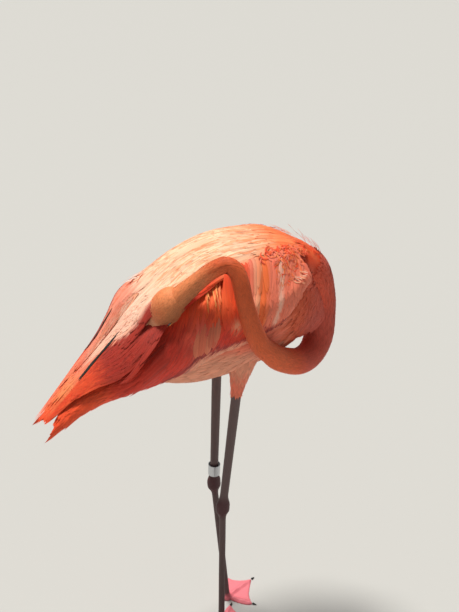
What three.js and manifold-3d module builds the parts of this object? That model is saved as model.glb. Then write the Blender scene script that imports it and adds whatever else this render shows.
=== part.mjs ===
// American flamingo, preening, standing on both legs: a still, life-size model.
//
// Millimetres, +Z up. +X is the way the bird's body faces and +Y is its left side.
// The dimensions below count from the ground midway between the two legs, and the
// finished group is shifted by STANDING_PLACE, so that the model's origin is on the
// ground under the middle of its bounding box.
//
// Each sub-part is a closed solid of its own. Most are lofts: rings of points strung
// along a line and stitched together. Neighbours are parted by cutting one solid with
// the other grown by a hair, so that they meet with a narrow gap and never overlap.

import * as THREE from 'three';
import Module from 'manifold-3d';
import { mergeVertices } from 'three/addons/utils/BufferGeometryUtils.js';

const wasm = await Module();
wasm.setup();

// ---------------------------------------------------------------- driving dimensions

const PART_GAP = 0.3;            // clearance between touching sub-parts
const SIMPLIFY = 0.08;           // how far a cut solid's faces may move to shed slivers
const V = (x, y, z) => new THREE.Vector3(x, y, z);
const STANDING_PLACE = V(74.3, 10.9, 0);   // puts the middle of the bounding box over the origin

// Legs: where each joint is, from the sole up.
const LEGS = {
  right: {
    hub: V(-31, -32, 0),
    ankle: V(-27, -33, 320),
    feathers: V(-2, -40, 579),
    hip: V(10, -46, 672),
  },
  left: {
    hub: V(9, 35, 0),
    ankle: V(-14, 49, 315),
    feathers: V(-6, 47, 590),
    hip: V(-2, 45, 672),
  },
};
const TARSUS_DEPTH = 13.6;       // fore and aft; across it is LEG_FLATNESS of this
const SHANK_DEPTH = 18.0;
const LEG_FLATNESS = 0.72;
const ANKLE_DEPTH = 29;
const ANKLE_HEIGHT = 46;
const THIGH_TOP_RADIUS = 34;
const THIGH_FLATNESS = 0.85;
const THIGH_CUFF = 2.6;          // how far the thigh's lowest feathers stand out from the shank
const SHANK_TAPER = { low: 0.94, high: 1.08 };
const TARSUS_FLARE = { amount: 0.28, reach: 0.07 };   // the tarsus widens just above the foot
const SOLE_THICKNESS = 11;       // height at which the tarsus stands on the foot

// Feet: toe lengths from the hub, and the way each toe points (degrees from the middle toe).
const TOES = {
  outer: { length: 70, turn: 56 },
  middle: { length: 76, turn: 0 },
  inner: { length: 58, turn: -62 },
};
const FOOT_TURN = { right: -14, left: 22 };   // degrees that the middle toe points to the left
const TOE_FLANK = 0.55;          // how far along an outside toe its flank follows it
const TOE_HEIGHT = 8.5;
const WEB_THICKNESS = 2.2;
const CLAW_LENGTH = 9;
const CLAW_RADIUS = 2.3;
const CLAW_POINT = 0.5;          // radius that a claw ends with
const CLAW_DROP = -0.16;         // how steeply a claw slopes to the ground
const CLAW_LIFT = 0.2;           // clearance of a claw's root over the ground
const RIDGE_SPREAD = 4.6;        // half width of a toe's ridge over the web
const RIDGE_RISE = 8;            // distance from the hub at which the ridges are full height
const WEB_SCALLOP = 0.25;        // how far the web's edge draws in between the toes
const HUB_SPREAD = 13;
const HEEL_REACH = 9;
const HEEL_DROP = 3.5;
const HALLUX = { length: 15, root: 4, rootHeight: 6.4, rootRadius: 3.4, endRadius: 2.3 };

// Identity ring on the left leg, just above the ankle.
const RING = { inner: 10.6, outer: 12.0, height: 24, aboveAnkle: 33.5 };

// Trunk: x, top, bottom and half width of each cross-section.
const TRUNK = [
  [160, 802, 738, 24],
  [150, 822, 686, 46],
  [120, 840, 652, 71],
  [80, 849, 633, 86],
  [30, 854, 619, 95],
  [-30, 847, 606, 92],
  [-80, 820, 602, 79],
  [-125, 778, 609, 59],
  [-165, 734, 623, 40],
  [-200, 694, 640, 22],
];
const TAIL = [
  [-190, 682, 652, 16],
  [-225, 668, 648, 27],
  [-262, 648, 635, 30],
  [-292, 626, 618, 22],
];

// Neck: its centre line from inside the breast to the back of the head, with the radius.
const NECK = [
  [108, 0, 792, 55],
  [144, 0, 767, 50],
  [166, -2, 728, 39],
  [172, -10, 690, 32],
  [168, -22, 652, 27.5],
  [146, -38, 629, 25.5],
  [109, -60, 630, 24.5],
  [62, -84, 657, 22],
  [35, -100, 683, 19.5],
  [9, -113, 713, 17.5],
  [-11, -123, 757, 15.5],
  [-24, -126, 800, 14.4],
  [-30, -123, 833, 14],
  [-36, -117, 853, 13.8],
  [-50, -111, 863, 13.6],
  [-70, -105, 855, 13.9],
  [-89, -98, 839, 14.4],
  [-108, -90, 820, 15.6],
  [-124, -82, 803, 18],
];
const NECK_CUTS = [0, 3.2, 6.6, 9.6, 13.4, 17.5];   // where one length ends and the next begins

// Head: its own frame has x towards the bill, z towards the crown and y to the bird's left.
const HEAD = {
  centre: V(-141, -76, 789),
  forward: V(-0.73, -0.04, -0.68),
  crown: V(-0.12, -0.86, 0.4),
};
const EYE_PLACE = V(13, 19.5, 3);
const EYE_RADIUS = 5.6;
const KEEL_NARROWING = 0.94;     // width of the lower half of the bill beside the upper

// Facets: rings along each loft, and sides round it or points across it.
const FACETS = {
  trunk: [17, 22],
  tail: [6, 12],
  neckCutter: 44,
  neckLength: 10,
  neckSides: 12,
  head: [11, 16],
  bill: [10, 10],
  eye: [12, 8],
  wing: [18, 7],
  scapulars: [17, 6],
  thigh: [6, 14],
  shank: [6, 12],
  ankle: [9, 12],
  tarsus: [9, 12],
  hallux: [3, 8],
  claw: [3, 6],
  ring: 20,
};

// ---------------------------------------------------------------- small helpers

const NUDGE = 1e-3;              // step for slopes along a curve
const WELD = 1e-4;               // points closer than this are one point

/** A smooth curve through the rows of a table: returns row(t), t counted in rows. */
function rowsCurve(rows) {
  const spline = (a, b, c, d, t) => {
    const m1 = (c - a) / 2;
    const m2 = (d - b) / 2;
    const t2 = t * t;
    const t3 = t2 * t;
    const slopes = (t3 - 2 * t2 + t) * m1 + (t3 - t2) * m2;
    return (2 * t3 - 3 * t2 + 1) * b + (3 * t2 - 2 * t3) * c + slopes;
  };
  const last = rows.length - 1;
  return (t) => {
    const i = Math.min(Math.max(Math.floor(t), 0), last - 1);
    const at = (k) => rows[Math.min(Math.max(k, 0), last)];
    return rows[0].map((_, k) => spline(at(i - 1)[k], at(i)[k], at(i + 1)[k], at(i + 2)[k], t - i));
  };
}

/** Evenly spaced numbers from a to b, both included. */
const steps = (a, b, count) => Array.from({ length: count }, (_, i) => a + ((b - a) * i) / (count - 1));

/** A closed solid from rings of equal length, each end closed by a fan to its middle. */
function loft(rings) {
  const sides = rings[0].length;
  const points = rings.flat();
  const faces = [];
  for (let r = 0; r + 1 < rings.length; r++) {
    for (let i = 0; i < sides; i++) {
      const a = r * sides + i;
      const b = r * sides + ((i + 1) % sides);
      faces.push(a, b, b + sides, a, b + sides, a + sides);
    }
  }
  const middle = (ring) => ring.reduce((sum, p) => sum.add(p), V(0, 0, 0)).divideScalar(ring.length);
  const first = points.push(middle(rings[0])) - 1;
  const final = points.push(middle(rings[rings.length - 1])) - 1;
  const start = (rings.length - 1) * sides;
  for (let i = 0; i < sides; i++) {
    const j = (i + 1) % sides;
    faces.push(first, j, i, final, start + i, start + j);
  }
  return faceOutwards(points, faces);
}

/** Turns every face round if the solid came out inside out. */
function faceOutwards(points, faces) {
  let volume = 0;
  for (let i = 0; i < faces.length; i += 3) {
    const [a, b, c] = [points[faces[i]], points[faces[i + 1]], points[faces[i + 2]]];
    volume += a.dot(b.clone().cross(c));
  }
  if (volume < 0) {
    for (let i = 0; i < faces.length; i += 3) {
      [faces[i + 1], faces[i + 2]] = [faces[i + 2], faces[i + 1]];
    }
  }
  const geometry = new THREE.BufferGeometry();
  const numbers = points.flatMap((p) => p.toArray());
  geometry.setAttribute('position', new THREE.Float32BufferAttribute(numbers, 3));
  geometry.setIndex(faces);
  return geometry;
}

/** An ellipse of points round a centre; across and up are its half axes as vectors. */
function ellipse(centre, across, up, sides) {
  return Array.from({ length: sides }, (_, i) => {
    const angle = (2 * Math.PI * i) / sides;
    return centre.clone().addScaledVector(across, Math.cos(angle)).addScaledVector(up, Math.sin(angle));
  });
}

/** A body whose upright cross-sections come from rows of x, top, bottom and half width. */
function bodyLoft(rows, [ringCount, sides], grow = 0) {
  const row = rowsCurve(rows);
  const rings = steps(0, rows.length - 1, ringCount).map((t) => {
    const [x, top, bottom, half] = row(t);
    const centre = V(x, 0, (top + bottom) / 2);
    return ellipse(centre, V(0, half + grow, 0), V(0, 0, (top - bottom) / 2 + grow), sides);
  });
  const outward = grow * Math.sign(rows[0][0] - rows[rows.length - 1][0]);
  rings[0].forEach((p) => (p.x += outward));
  rings[rings.length - 1].forEach((p) => (p.x -= outward));
  return loft(rings);
}

/** A tube along points with a radius function; across is kept level where it can be. */
function tube(centreAt, radiusAt, from, to, [ringCount, sides], flatness = 1, grow = 0) {
  const rings = steps(from, to, ringCount).map((t) => {
    const along = centreAt(t + NUDGE).sub(centreAt(t - NUDGE)).normalize();
    const across = V(0, 1, 0).addScaledVector(along, -along.y).normalize();
    const up = along.clone().cross(across);
    const r = radiusAt(t) + grow;
    const centre = centreAt(t);
    if (t === from) centre.addScaledVector(along, -grow * Math.sign(to - from));
    if (t === to) centre.addScaledVector(along, grow * Math.sign(to - from));
    return ellipse(centre, across.multiplyScalar(r * flatness), up.multiplyScalar(r), sides);
  });
  return loft(rings);
}

/** A closed mesh as a solid that can be cut and joined. */
const solid = (geometry) => {
  const bare = new THREE.BufferGeometry();
  bare.setAttribute('position', geometry.attributes.position);
  bare.setIndex(geometry.index);
  const merged = mergeVertices(bare, WELD);
  return new wasm.Manifold(new wasm.Mesh({
    numProp: 3,
    vertProperties: new Float32Array(merged.attributes.position.array),
    triVerts: new Uint32Array(merged.index.array),
  }));
};

/** The geometry of a solid, ready for a mesh. */
function surface(body) {
  const mesh = body.getMesh();
  const result = new THREE.BufferGeometry();
  result.setAttribute('position', new THREE.Float32BufferAttribute(mesh.vertProperties, 3));
  result.setIndex(Array.from(mesh.triVerts));
  return result;
}

/** Cuts the geometry by each cutter and keeps the largest piece that is left. */
function cut(geometry, cutters) {
  let body = solid(geometry);
  for (const cutter of cutters) body = body.subtract(solid(cutter));
  const pieces = body.decompose().sort((a, b) => b.volume() - a.volume());
  return surface(pieces[0].simplify(SIMPLIFY));
}

/** Joins geometries that overlap into one solid. */
const join = (geometries) => surface(geometries.map(solid).reduce((sum, next) => sum.add(next)));

const flamingo = new THREE.Group();
const FEATHER_ROUGHNESS = 0.9;
const SKIN_ROUGHNESS = 0.6;
const finish = (color, roughness = FEATHER_ROUGHNESS) =>
  new THREE.MeshStandardMaterial({ color, roughness, metalness: 0 });
const FINISH = {
  plumage: finish(0xf28a68),
  flame: finish(0xee5a30),
  pale: finish(0xf6b79c),
  neck: finish(0xe07a4a),
  skin: finish(0x77595b, SKIN_ROUGHNESS),
  joint: finish(0x5a2630, SKIN_ROUGHNESS),
  web: finish(0xd98a92, SKIN_ROUGHNESS),
  billPale: finish(0xe9b9a0, 0.45),
  billDark: finish(0x1c1719, 0.4),
  claw: finish(0x2a2224, 0.4),
  eye: finish(0xe8d26a, 0.15),
  ring: new THREE.MeshStandardMaterial({ color: 0xb9bdc2, roughness: 0.35, metalness: 1 }),
};

function place(name, geometry, material) {
  const mesh = new THREE.Mesh(geometry, material);
  mesh.name = name;
  flamingo.add(mesh);
}

// ---------------------------------------------------------------- trunk and tail

const trunkShape = (grow = 0) => bodyLoft(TRUNK, FACETS.trunk, grow);
const tailShape = (grow = 0) => bodyLoft(TAIL, FACETS.tail, grow);

// ---------------------------------------------------------------- neck

const neckRow = rowsCurve(NECK);
const neckCentre = (t) => V(...neckRow(t).slice(0, 3));
const neckRadius = (t) => neckRow(t)[3];
const neckShape = (from, to, count, grow = 0) =>
  tube(neckCentre, neckRadius, from, to, [count, FACETS.neckSides], 1, grow);

/** The neck parameter that lies a given distance along the curve from t. */
function neckStep(t, distance) {
  const speed = neckCentre(t + NUDGE).distanceTo(neckCentre(t - NUDGE)) / (2 * NUDGE);
  return t + distance / speed;
}

// ---------------------------------------------------------------- head and bill

const forward = HEAD.forward.clone().normalize();
const crown = HEAD.crown.clone().addScaledVector(forward, -HEAD.crown.dot(forward)).normalize();
const headLeft = crown.clone().cross(forward);
const headFrame = new THREE.Matrix4().makeBasis(forward, headLeft, crown).setPosition(HEAD.centre);

// Head sections: x, crown height, chin depth, half width.
const HEAD_ROWS = [
  [-36, 9, -9, 10],
  [-31, 19, -16, 18],
  [-20, 26, -21, 24],
  [-6, 28, -23, 26],
  [8, 25, -22, 24.5],
  [20, 19, -20, 20.5],
  [29, 14, -18, 16],
  [34, 11, -16, 13.5],
];

const headShape = (grow = 0) => bodyLoft(HEAD_ROWS, FACETS.head, grow).applyMatrix4(headFrame);

// Bill, side view: the ridge, the mouth line and the keel, as x and z, with half widths.
const BILL = [
  { ridge: [34.4, 10.5], mouth: [34.4, -4], keel: [34.4, -15.5], half: 12.5 },
  { ridge: [50, 9], mouth: [50, -5], keel: [47, -21], half: 11.5 },
  { ridge: [66, 5.5], mouth: [63, -7], keel: [58, -28], half: 11 },
  { ridge: [81, -3], mouth: [75, -13], keel: [68, -34], half: 11 },
  { ridge: [94, -17], mouth: [86, -24], keel: [78, -42], half: 10 },
  { ridge: [104, -34], mouth: [97, -38], keel: [88, -51], half: 8.5 },
  { ridge: [110, -50], mouth: [105, -52], keel: [97, -60], half: 6.5 },
  { ridge: [111, -62], mouth: [108.5, -61.5], keel: [104, -65], half: 3 },
];

/** One half of the bill: a loft of ellipses between two of the side-view lines. */
function mandible(edge, grow = 0) {
  const row = rowsCurve(BILL.map((b) => [...b[edge], ...b.mouth, b.half]));
  const [ringCount, sides] = FACETS.bill;
  const rings = steps(0, BILL.length - 1, ringCount).map((t) => {
    const [ex, ez, mx, mz, half] = row(t);
    const outer = V(ex, 0, ez);
    const inner = V(mx, 0, mz);
    const across = outer.clone().sub(inner);
    const span = across.length() / 2 - PART_GAP / 2 + grow;
    const width = (edge === 'ridge' ? half : half * KEEL_NARROWING) + grow;
    return ellipse(outer.add(inner).multiplyScalar(0.5), V(0, width, 0), across.setLength(span), sides);
  });
  return loft(rings).applyMatrix4(headFrame);
}

const eyeBall = (side, grow = 0) => new THREE.SphereGeometry(EYE_RADIUS + grow, ...FACETS.eye)
  .translate(EYE_PLACE.x, side * EYE_PLACE.y, EYE_PLACE.z).applyMatrix4(headFrame);

// ---------------------------------------------------------------- wings and back plumes

const PANEL_EDGE = 0.35;         // thickness of a panel's long edges beside its middle

/**
 * A curved panel of feathers. Each row is x, then the top, middle and lower point of the
 * outer surface as (out, z), then the thickness. side is -1 on the bird's right, 1 on its left.
 */
function panel(rows, side, [ringCount, along], grow = 0) {
  const row = rowsCurve(rows);
  const rings = steps(0, rows.length - 1, ringCount).map((t) => {
    const [x, ty, tz, my, mz, ly, lz, thick] = row(t);
    const outer = steps(0, 1, along).map((u) => {
      const a = 2 * (u - 0.5) * (u - 1);
      const b = 4 * u * (1 - u);
      const c = 2 * u * (u - 0.5);
      return V(x, a * ty + b * my + c * ly, a * tz + b * mz + c * lz);
    });
    const shifted = (reach) => outer.map((p, i) => {
      const before = outer[Math.max(i - 1, 0)];
      const after = outer[Math.min(i + 1, along - 1)];
      const run = after.clone().sub(before).normalize();
      const normal = V(0, -run.z, run.y);
      const past = i === 0 ? -grow : i === along - 1 ? grow : 0;
      return p.clone().addScaledVector(normal, reach(i)).addScaledVector(run, past);
    });
    const swell = (i) => THREE.MathUtils.lerp(PANEL_EDGE, 1, Math.sin((Math.PI * i) / (along - 1)));
    const depth = (i) => -grow - thick * swell(i);
    const ring = [...shifted(() => grow), ...shifted(depth).reverse()];
    ring.forEach((p) => (p.y *= side));
    return ring;
  });
  return loft(rings);
}

// x, top (out, z), middle (out, z), lower (out, z), thickness
const WING_RIGHT = [
  [118, 66, 820, 80, 812, 84, 801, 7],
  [98, 50, 840, 92, 813, 95, 789, 13],
  [66, 40, 850, 104, 798, 103, 750, 14],
  [25, 34, 853, 109, 792, 105, 728, 14],
  [-20, 31, 851, 111, 786, 107, 714, 13],
  [-65, 28, 838, 112, 774, 108, 706, 12],
  [-110, 26, 810, 110, 756, 102, 684, 11],
  [-160, 22, 766, 108, 728, 90, 662, 10],
  [-205, 18, 720, 102, 692, 78, 645, 9],
  [-250, 20, 668, 74, 656, 60, 625, 8],
  [-295, 24, 626, 50, 616, 48, 599, 6],
  [-345, 35, 571, 41, 569, 42, 564, 4],
];
const WING_LEFT = [
  [118, 66, 820, 80, 812, 84, 801, 7],
  [98, 50, 840, 92, 813, 95, 789, 13],
  [66, 40, 850, 104, 798, 103, 750, 14],
  [25, 34, 853, 109, 792, 105, 728, 14],
  [-20, 31, 851, 111, 786, 105, 708, 13],
  [-65, 28, 838, 108, 772, 97, 696, 12],
  [-110, 26, 810, 102, 752, 88, 684, 11],
  [-160, 20, 766, 88, 720, 76, 666, 10],
  [-205, 14, 718, 68, 688, 60, 650, 9],
  [-250, 13, 667, 46, 653, 42, 632, 8],
  [-300, 15, 612, 28, 605, 28, 592, 6],
  [-354, 22, 563, 27, 560, 28, 555, 4],
];
const SCAPULARS_RIGHT = [
  [130, 0.2, 839, 24, 838, 44, 831, 6],
  [80, 0.2, 861, 38, 858, 74, 841, 10],
  [30, 0.2, 866, 42, 863, 82, 836, 11],
  [-30, 0.2, 863, 44, 858, 84, 829, 11],
  [-85, 0.2, 843, 44, 838, 84, 807, 10],
  [-135, 0.2, 808, 46, 804, 88, 777, 10],
  [-180, 0.2, 762, 56, 776, 114, 745, 9],
  [-220, 0.2, 716, 56, 735, 108, 703, 8],
  [-262, 0.2, 673, 38, 688, 72, 672, 7],
  [-300, 0.2, 637, 22, 641, 42, 633, 6],
  [-342, 2, 590, 12, 589, 21, 585, 4],
];
const SCAPULARS_LEFT = [
  [130, 0.2, 839, 24, 838, 44, 831, 6],
  [80, 0.2, 861, 38, 858, 74, 841, 10],
  [30, 0.2, 866, 42, 863, 82, 836, 11],
  [-30, 0.2, 863, 44, 858, 84, 829, 11],
  [-85, 0.2, 843, 44, 838, 84, 807, 10],
  [-135, 0.2, 808, 46, 806, 88, 775, 10],
  [-180, 0.2, 768, 38, 781, 82, 751, 9],
  [-208, 0.2, 734, 28, 745, 64, 716, 8],
  [-235, 0.2, 703, 20, 707, 46, 692, 8],
  [-280, 0.2, 655, 14, 659, 28, 651, 7],
  [-350, 3, 581, 12, 578, 19, 574, 4],
];

// ---------------------------------------------------------------- legs and feet

const between = (a, b) => (t) => a.clone().lerp(b, t);

/** Leg pieces of one side, from the thigh feathers down to the tarsus. */
function legShapes(side) {
  const leg = LEGS[side];
  const knob = ANKLE_HEIGHT / 2;
  const ankleTop = leg.ankle.clone().lerp(leg.feathers, knob / leg.ankle.distanceTo(leg.feathers));
  const ankleLow = leg.ankle.clone().lerp(leg.hub, knob / leg.ankle.distanceTo(leg.hub));
  const rise = (p, amount) => p.clone().add(V(0, 0, amount));
  const sole = leg.hub.clone().lerp(leg.ankle, SOLE_THICKNESS / leg.ankle.z);
  const swell = (t) => {
    const bulge = Math.sin(Math.PI * Math.min(Math.max(t, 0), 1)) ** 0.9;
    return THREE.MathUtils.lerp(THREE.MathUtils.lerp(TARSUS_DEPTH, SHANK_DEPTH, t), ANKLE_DEPTH, bulge) / 2;
  };
  const shankWidth = (t) => (THREE.MathUtils.lerp(SHANK_TAPER.low, SHANK_TAPER.high, t) * SHANK_DEPTH) / 2;
  const flare = (t) => TARSUS_FLARE.amount * (1 - Math.min(t / TARSUS_FLARE.reach, 1)) ** 2;
  const tarsusWidth = (t) => (TARSUS_DEPTH / 2) * (1 + flare(t));
  const thighWidth = (t) => THREE.MathUtils.lerp(SHANK_DEPTH / 2 + THIGH_CUFF, THIGH_TOP_RADIUS, t ** 1.15);
  const jointLine = (t) => ankleLow.clone().lerp(ankleTop, t);
  const tarsusLine = between(rise(sole, 2 * PART_GAP), rise(ankleLow, 2));
  const shankLine = between(rise(ankleTop, -2), rise(leg.feathers, 3));
  const thighLine = between(leg.feathers, leg.hip);
  return {
    thigh: (grow = 0) => tube(thighLine, thighWidth, 0, 1, FACETS.thigh, THIGH_FLATNESS, grow),
    shank: tube(shankLine, shankWidth, 0, 1, FACETS.shank, LEG_FLATNESS),
    ankle: (grow = 0) => tube(jointLine, swell, 0, 1, FACETS.ankle, LEG_FLATNESS, grow),
    tarsus: tube(tarsusLine, tarsusWidth, 0, 1, FACETS.tarsus, LEG_FLATNESS),
  };
}

const radians = THREE.MathUtils.degToRad;

/** Distance from the hub to the edge of the foot in a direction, with scalloped webs. */
function footReach(turn) {
  const order = [TOES.inner, TOES.middle, TOES.outer];
  const k = turn < 0 ? 0 : 1;
  const [a, b] = [order[k], order[k + 1]];
  const u = (turn - a.turn) / (b.turn - a.turn);
  const scallop = 1 - WEB_SCALLOP * Math.sin(Math.PI * Math.min(Math.max(u, 0), 1)) ** 0.8;
  return THREE.MathUtils.lerp(a.length, b.length, u) * scallop;
}

/** Height of the foot's upper surface: ridged toes over a thin web, rising to the hub. */
function footHeight(turn, r) {
  let height = WEB_THICKNESS;
  for (const toe of Object.values(TOES)) {
    const off = r * Math.sin(radians(turn - toe.turn));
    const along = r / toe.length;
    const knuckle = 1 + 0.1 * Math.cos(along * Math.PI * 6);
    const tall = (TOE_HEIGHT - WEB_THICKNESS) * (1 - 0.5 * along) * knuckle;
    if (Math.abs(turn - toe.turn) < 60) {
      height += tall * Math.exp(-((off / RIDGE_SPREAD) ** 2)) * Math.min(r / RIDGE_RISE, 1);
    }
  }
  const hub = SOLE_THICKNESS * Math.exp(-((r / HUB_SPREAD) ** 4));
  return Math.max(height, hub);
}

function footShape(side) {
  const mirror = side === 'left' ? 1 : -1;
  const heading = radians(FOOT_TURN[side]);
  const turns = [-70, -62, -54, -42, -30, -18, -8, 0, 8, 18, 28, 38, 48, 56, 64];
  const radii = [0.16, 0.34, 0.52, 0.7, 0.86, 0.96];
  const hub = LEGS[side].hub;
  const spot = (turn, r, z) => {
    const angle = heading + mirror * radians(turn);
    return V(hub.x + r * Math.cos(angle), hub.y + r * Math.sin(angle), z);
  };
  const reach = (turn) => {
    const within = Math.min(Math.max(turn, TOES.inner.turn), TOES.outer.turn);
    return within === turn ? footReach(turn) : footReach(within) * TOE_FLANK;
  };
  // The heel: a rounded back edge behind the hub closes the fan.
  const heelTurns = [100, 140, 180, 220, 255];
  const rimTurns = [...turns, ...heelTurns];
  const points = [spot(0, 0, SOLE_THICKNESS), spot(0, 0, 0)];
  const faces = [];
  const columns = rimTurns.map((turn, i) => {
    const far = i < turns.length ? reach(turn) : HEEL_REACH;
    const column = radii.map((f) => {
      const r = f * far;
      const z = i < turns.length ? footHeight(turn, r) : SOLE_THICKNESS - HEEL_DROP * f;
      return points.push(spot(turn, r, z)) - 1;
    });
    column.push(points.push(spot(turn, far, 1.0)) - 1);
    column.push(points.push(spot(turn, far * 0.985, 0)) - 1);
    return column;
  });
  columns.forEach((column, i) => {
    const next = columns[(i + 1) % columns.length];
    faces.push(0, column[0], next[0]);
    for (let k = 0; k + 1 < column.length; k++) {
      faces.push(column[k], column[k + 1], next[k + 1], column[k], next[k + 1], next[k]);
    }
    faces.push(1, next[next.length - 1], column[column.length - 1]);
  });
  return faceOutwards(points, faces);
}

/** The hind toe: a short peg that slopes from behind the hub down to the ground. */
function halluxLine(side) {
  const heading = radians(FOOT_TURN[side]);
  const back = V(-Math.cos(heading), -Math.sin(heading), 0);
  const hub = LEGS[side].hub;
  const root = hub.clone().addScaledVector(back, HALLUX.root).add(V(0, 0, HALLUX.rootHeight));
  const end = hub.clone().addScaledVector(back, HALLUX.length).add(V(0, 0, CLAW_RADIUS));
  return { root, end };
}

/** A claw: a short cone that goes on from a toe's end. */
function clawShape(from, direction) {
  const start = from.clone().addScaledVector(direction, PART_GAP);
  const tip = start.clone().addScaledVector(direction, CLAW_LENGTH);
  const width = (t) => THREE.MathUtils.lerp(CLAW_RADIUS, CLAW_POINT, t);
  return tube(between(start, tip), width, 0, 1, FACETS.claw);
}

/** All four claws of a foot, by the name of the toe that each is on. */
function clawShapes(side) {
  const mirror = side === 'left' ? 1 : -1;
  const claws = {};
  for (const [name, toe] of Object.entries(TOES)) {
    const angle = radians(FOOT_TURN[side] + mirror * toe.turn);
    const out = V(Math.cos(angle), Math.sin(angle), 0);
    const lift = V(0, 0, CLAW_RADIUS + CLAW_LIFT);
    const start = LEGS[side].hub.clone().addScaledVector(out, toe.length).add(lift);
    claws[name] = clawShape(start, out.add(V(0, 0, CLAW_DROP)).normalize());
  }
  const { end } = halluxLine(side);
  const back = end.clone().sub(LEGS[side].hub).setZ(0).normalize();
  const start = end.clone().addScaledVector(back, 3 * PART_GAP).add(V(0, 0, CLAW_LIFT));
  claws.hind = clawShape(start, back.add(V(0, 0, CLAW_DROP)).normalize());
  return claws;
}

/** The ring: a plain band, square in section, round the left shank. */
function ringShape() {
  const { inner, outer, height, aboveAnkle } = RING;
  const { ankle, feathers } = LEGS.left;
  const section = [[inner, 0], [outer, 0], [outer, height], [inner, height], [inner, 0]];
  const profile = section.map(([r, z]) => new THREE.Vector2(r, z - height / 2));
  const band = new THREE.LatheGeometry(profile, FACETS.ring);
  const axis = feathers.clone().sub(ankle).normalize();
  const centre = ankle.clone().addScaledVector(axis, aboveAnkle);
  band.applyQuaternion(new THREE.Quaternion().setFromUnitVectors(V(0, 1, 0), axis));
  return band.translate(...centre.toArray());
}

// ---------------------------------------------------------------- assembly

const SIDES = { right: -1, left: 1 };
const trunk = trunkShape(PART_GAP);
const tail = tailShape(PART_GAP);
const neckEnd = NECK_CUTS[NECK_CUTS.length - 1];
const wholeNeck = neckShape(NECK_CUTS[0], neckEnd, FACETS.neckCutter, PART_GAP * 2);
const head = headShape(PART_GAP);
const bill = [mandible('ridge', PART_GAP * 2), mandible('keel', PART_GAP * 2)];
const eyeRoom = [eyeBall(1, PART_GAP * 2), eyeBall(-1, PART_GAP * 2)];

// The first length of neck starts inside the breast, so only the rest cuts the trunk.
const looseNeck = neckShape(NECK_CUTS[1], neckEnd, FACETS.neckCutter, PART_GAP * 2);
place('trunk', cut(trunkShape(), [looseNeck, ...bill]), FINISH.plumage);
place('tail', cut(tailShape(), [trunk]), FINISH.plumage);

for (let i = 0; i + 1 < NECK_CUTS.length; i++) {
  const from = i === 0 ? NECK_CUTS[0] : neckStep(NECK_CUTS[i], PART_GAP / 2);
  const to = neckStep(NECK_CUTS[i + 1], -PART_GAP / 2);
  const length = neckShape(from, to, FACETS.neckLength);
  const neighbours = { 0: [trunk], [NECK_CUTS.length - 2]: [head] };
  place(`neck_${i + 1}`, cut(length, neighbours[i] ?? []), FINISH.neck);
}

place('head', cut(headShape(), [eyeBall(1, PART_GAP), eyeBall(-1, PART_GAP)]), FINISH.neck);
place('bill_upper', mandible('ridge'), FINISH.billPale);
place('bill_lower', mandible('keel'), FINISH.billDark);

const wings = {
  right: (grow = 0) => panel(WING_RIGHT, SIDES.right, FACETS.wing, grow),
  left: (grow = 0) => panel(WING_LEFT, SIDES.left, FACETS.wing, grow),
};
const scapulars = {
  right: (grow = 0) => panel(SCAPULARS_RIGHT, SIDES.right, FACETS.scapulars, grow),
  left: (grow = 0) => panel(SCAPULARS_LEFT, SIDES.left, FACETS.scapulars, grow),
};

for (const [side, y] of Object.entries(SIDES)) {
  const blockers = [trunk, tail, wholeNeck, head, ...bill, ...eyeRoom];
  place(`eye_${side}`, eyeBall(y), FINISH.eye);
  place(`wing_${side}`, cut(wings[side](), blockers), FINISH.flame);
  blockers.push(wings[side](PART_GAP));
  place(`scapulars_${side}`, cut(scapulars[side](), blockers), FINISH.pale);
  const leg = legShapes(side);
  const ankle = leg.ankle(PART_GAP);
  place(`thigh_${side}`, cut(leg.thigh(), [trunk]), FINISH.pale);
  place(`shank_${side}`, cut(leg.shank, [ankle, leg.thigh(PART_GAP)]), FINISH.skin);
  place(`ankle_${side}`, leg.ankle(), FINISH.joint);
  place(`tarsus_${side}`, cut(leg.tarsus, [ankle]), FINISH.skin);
  const { root, end } = halluxLine(side);
  const halluxWidth = (t) => THREE.MathUtils.lerp(HALLUX.rootRadius, HALLUX.endRadius, t);
  const hallux = tube(between(root, end), halluxWidth, 0, 1, FACETS.hallux);
  place(`foot_${side}`, join([footShape(side), hallux]), FINISH.web);
  for (const [toe, claw] of Object.entries(clawShapes(side))) {
    place(`claw_${toe}_${side}`, claw, FINISH.claw);
  }
}
place('leg_ring', join([ringShape()]), FINISH.ring);
flamingo.position.copy(STANDING_PLACE);

export default flamingo;
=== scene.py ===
# %% [markdown]
# # A preening flamingo
#
# A life-size flamingo stands on both legs and works its bill into the plumes of its back.
# The solids carry its outline. Here they are dressed: one skin takes the place of the
# flesh, and feathers made as thin solid vanes are laid over the skin in rows, from the
# rear forwards, the way tiles are hung on a roof.

import math

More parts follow.
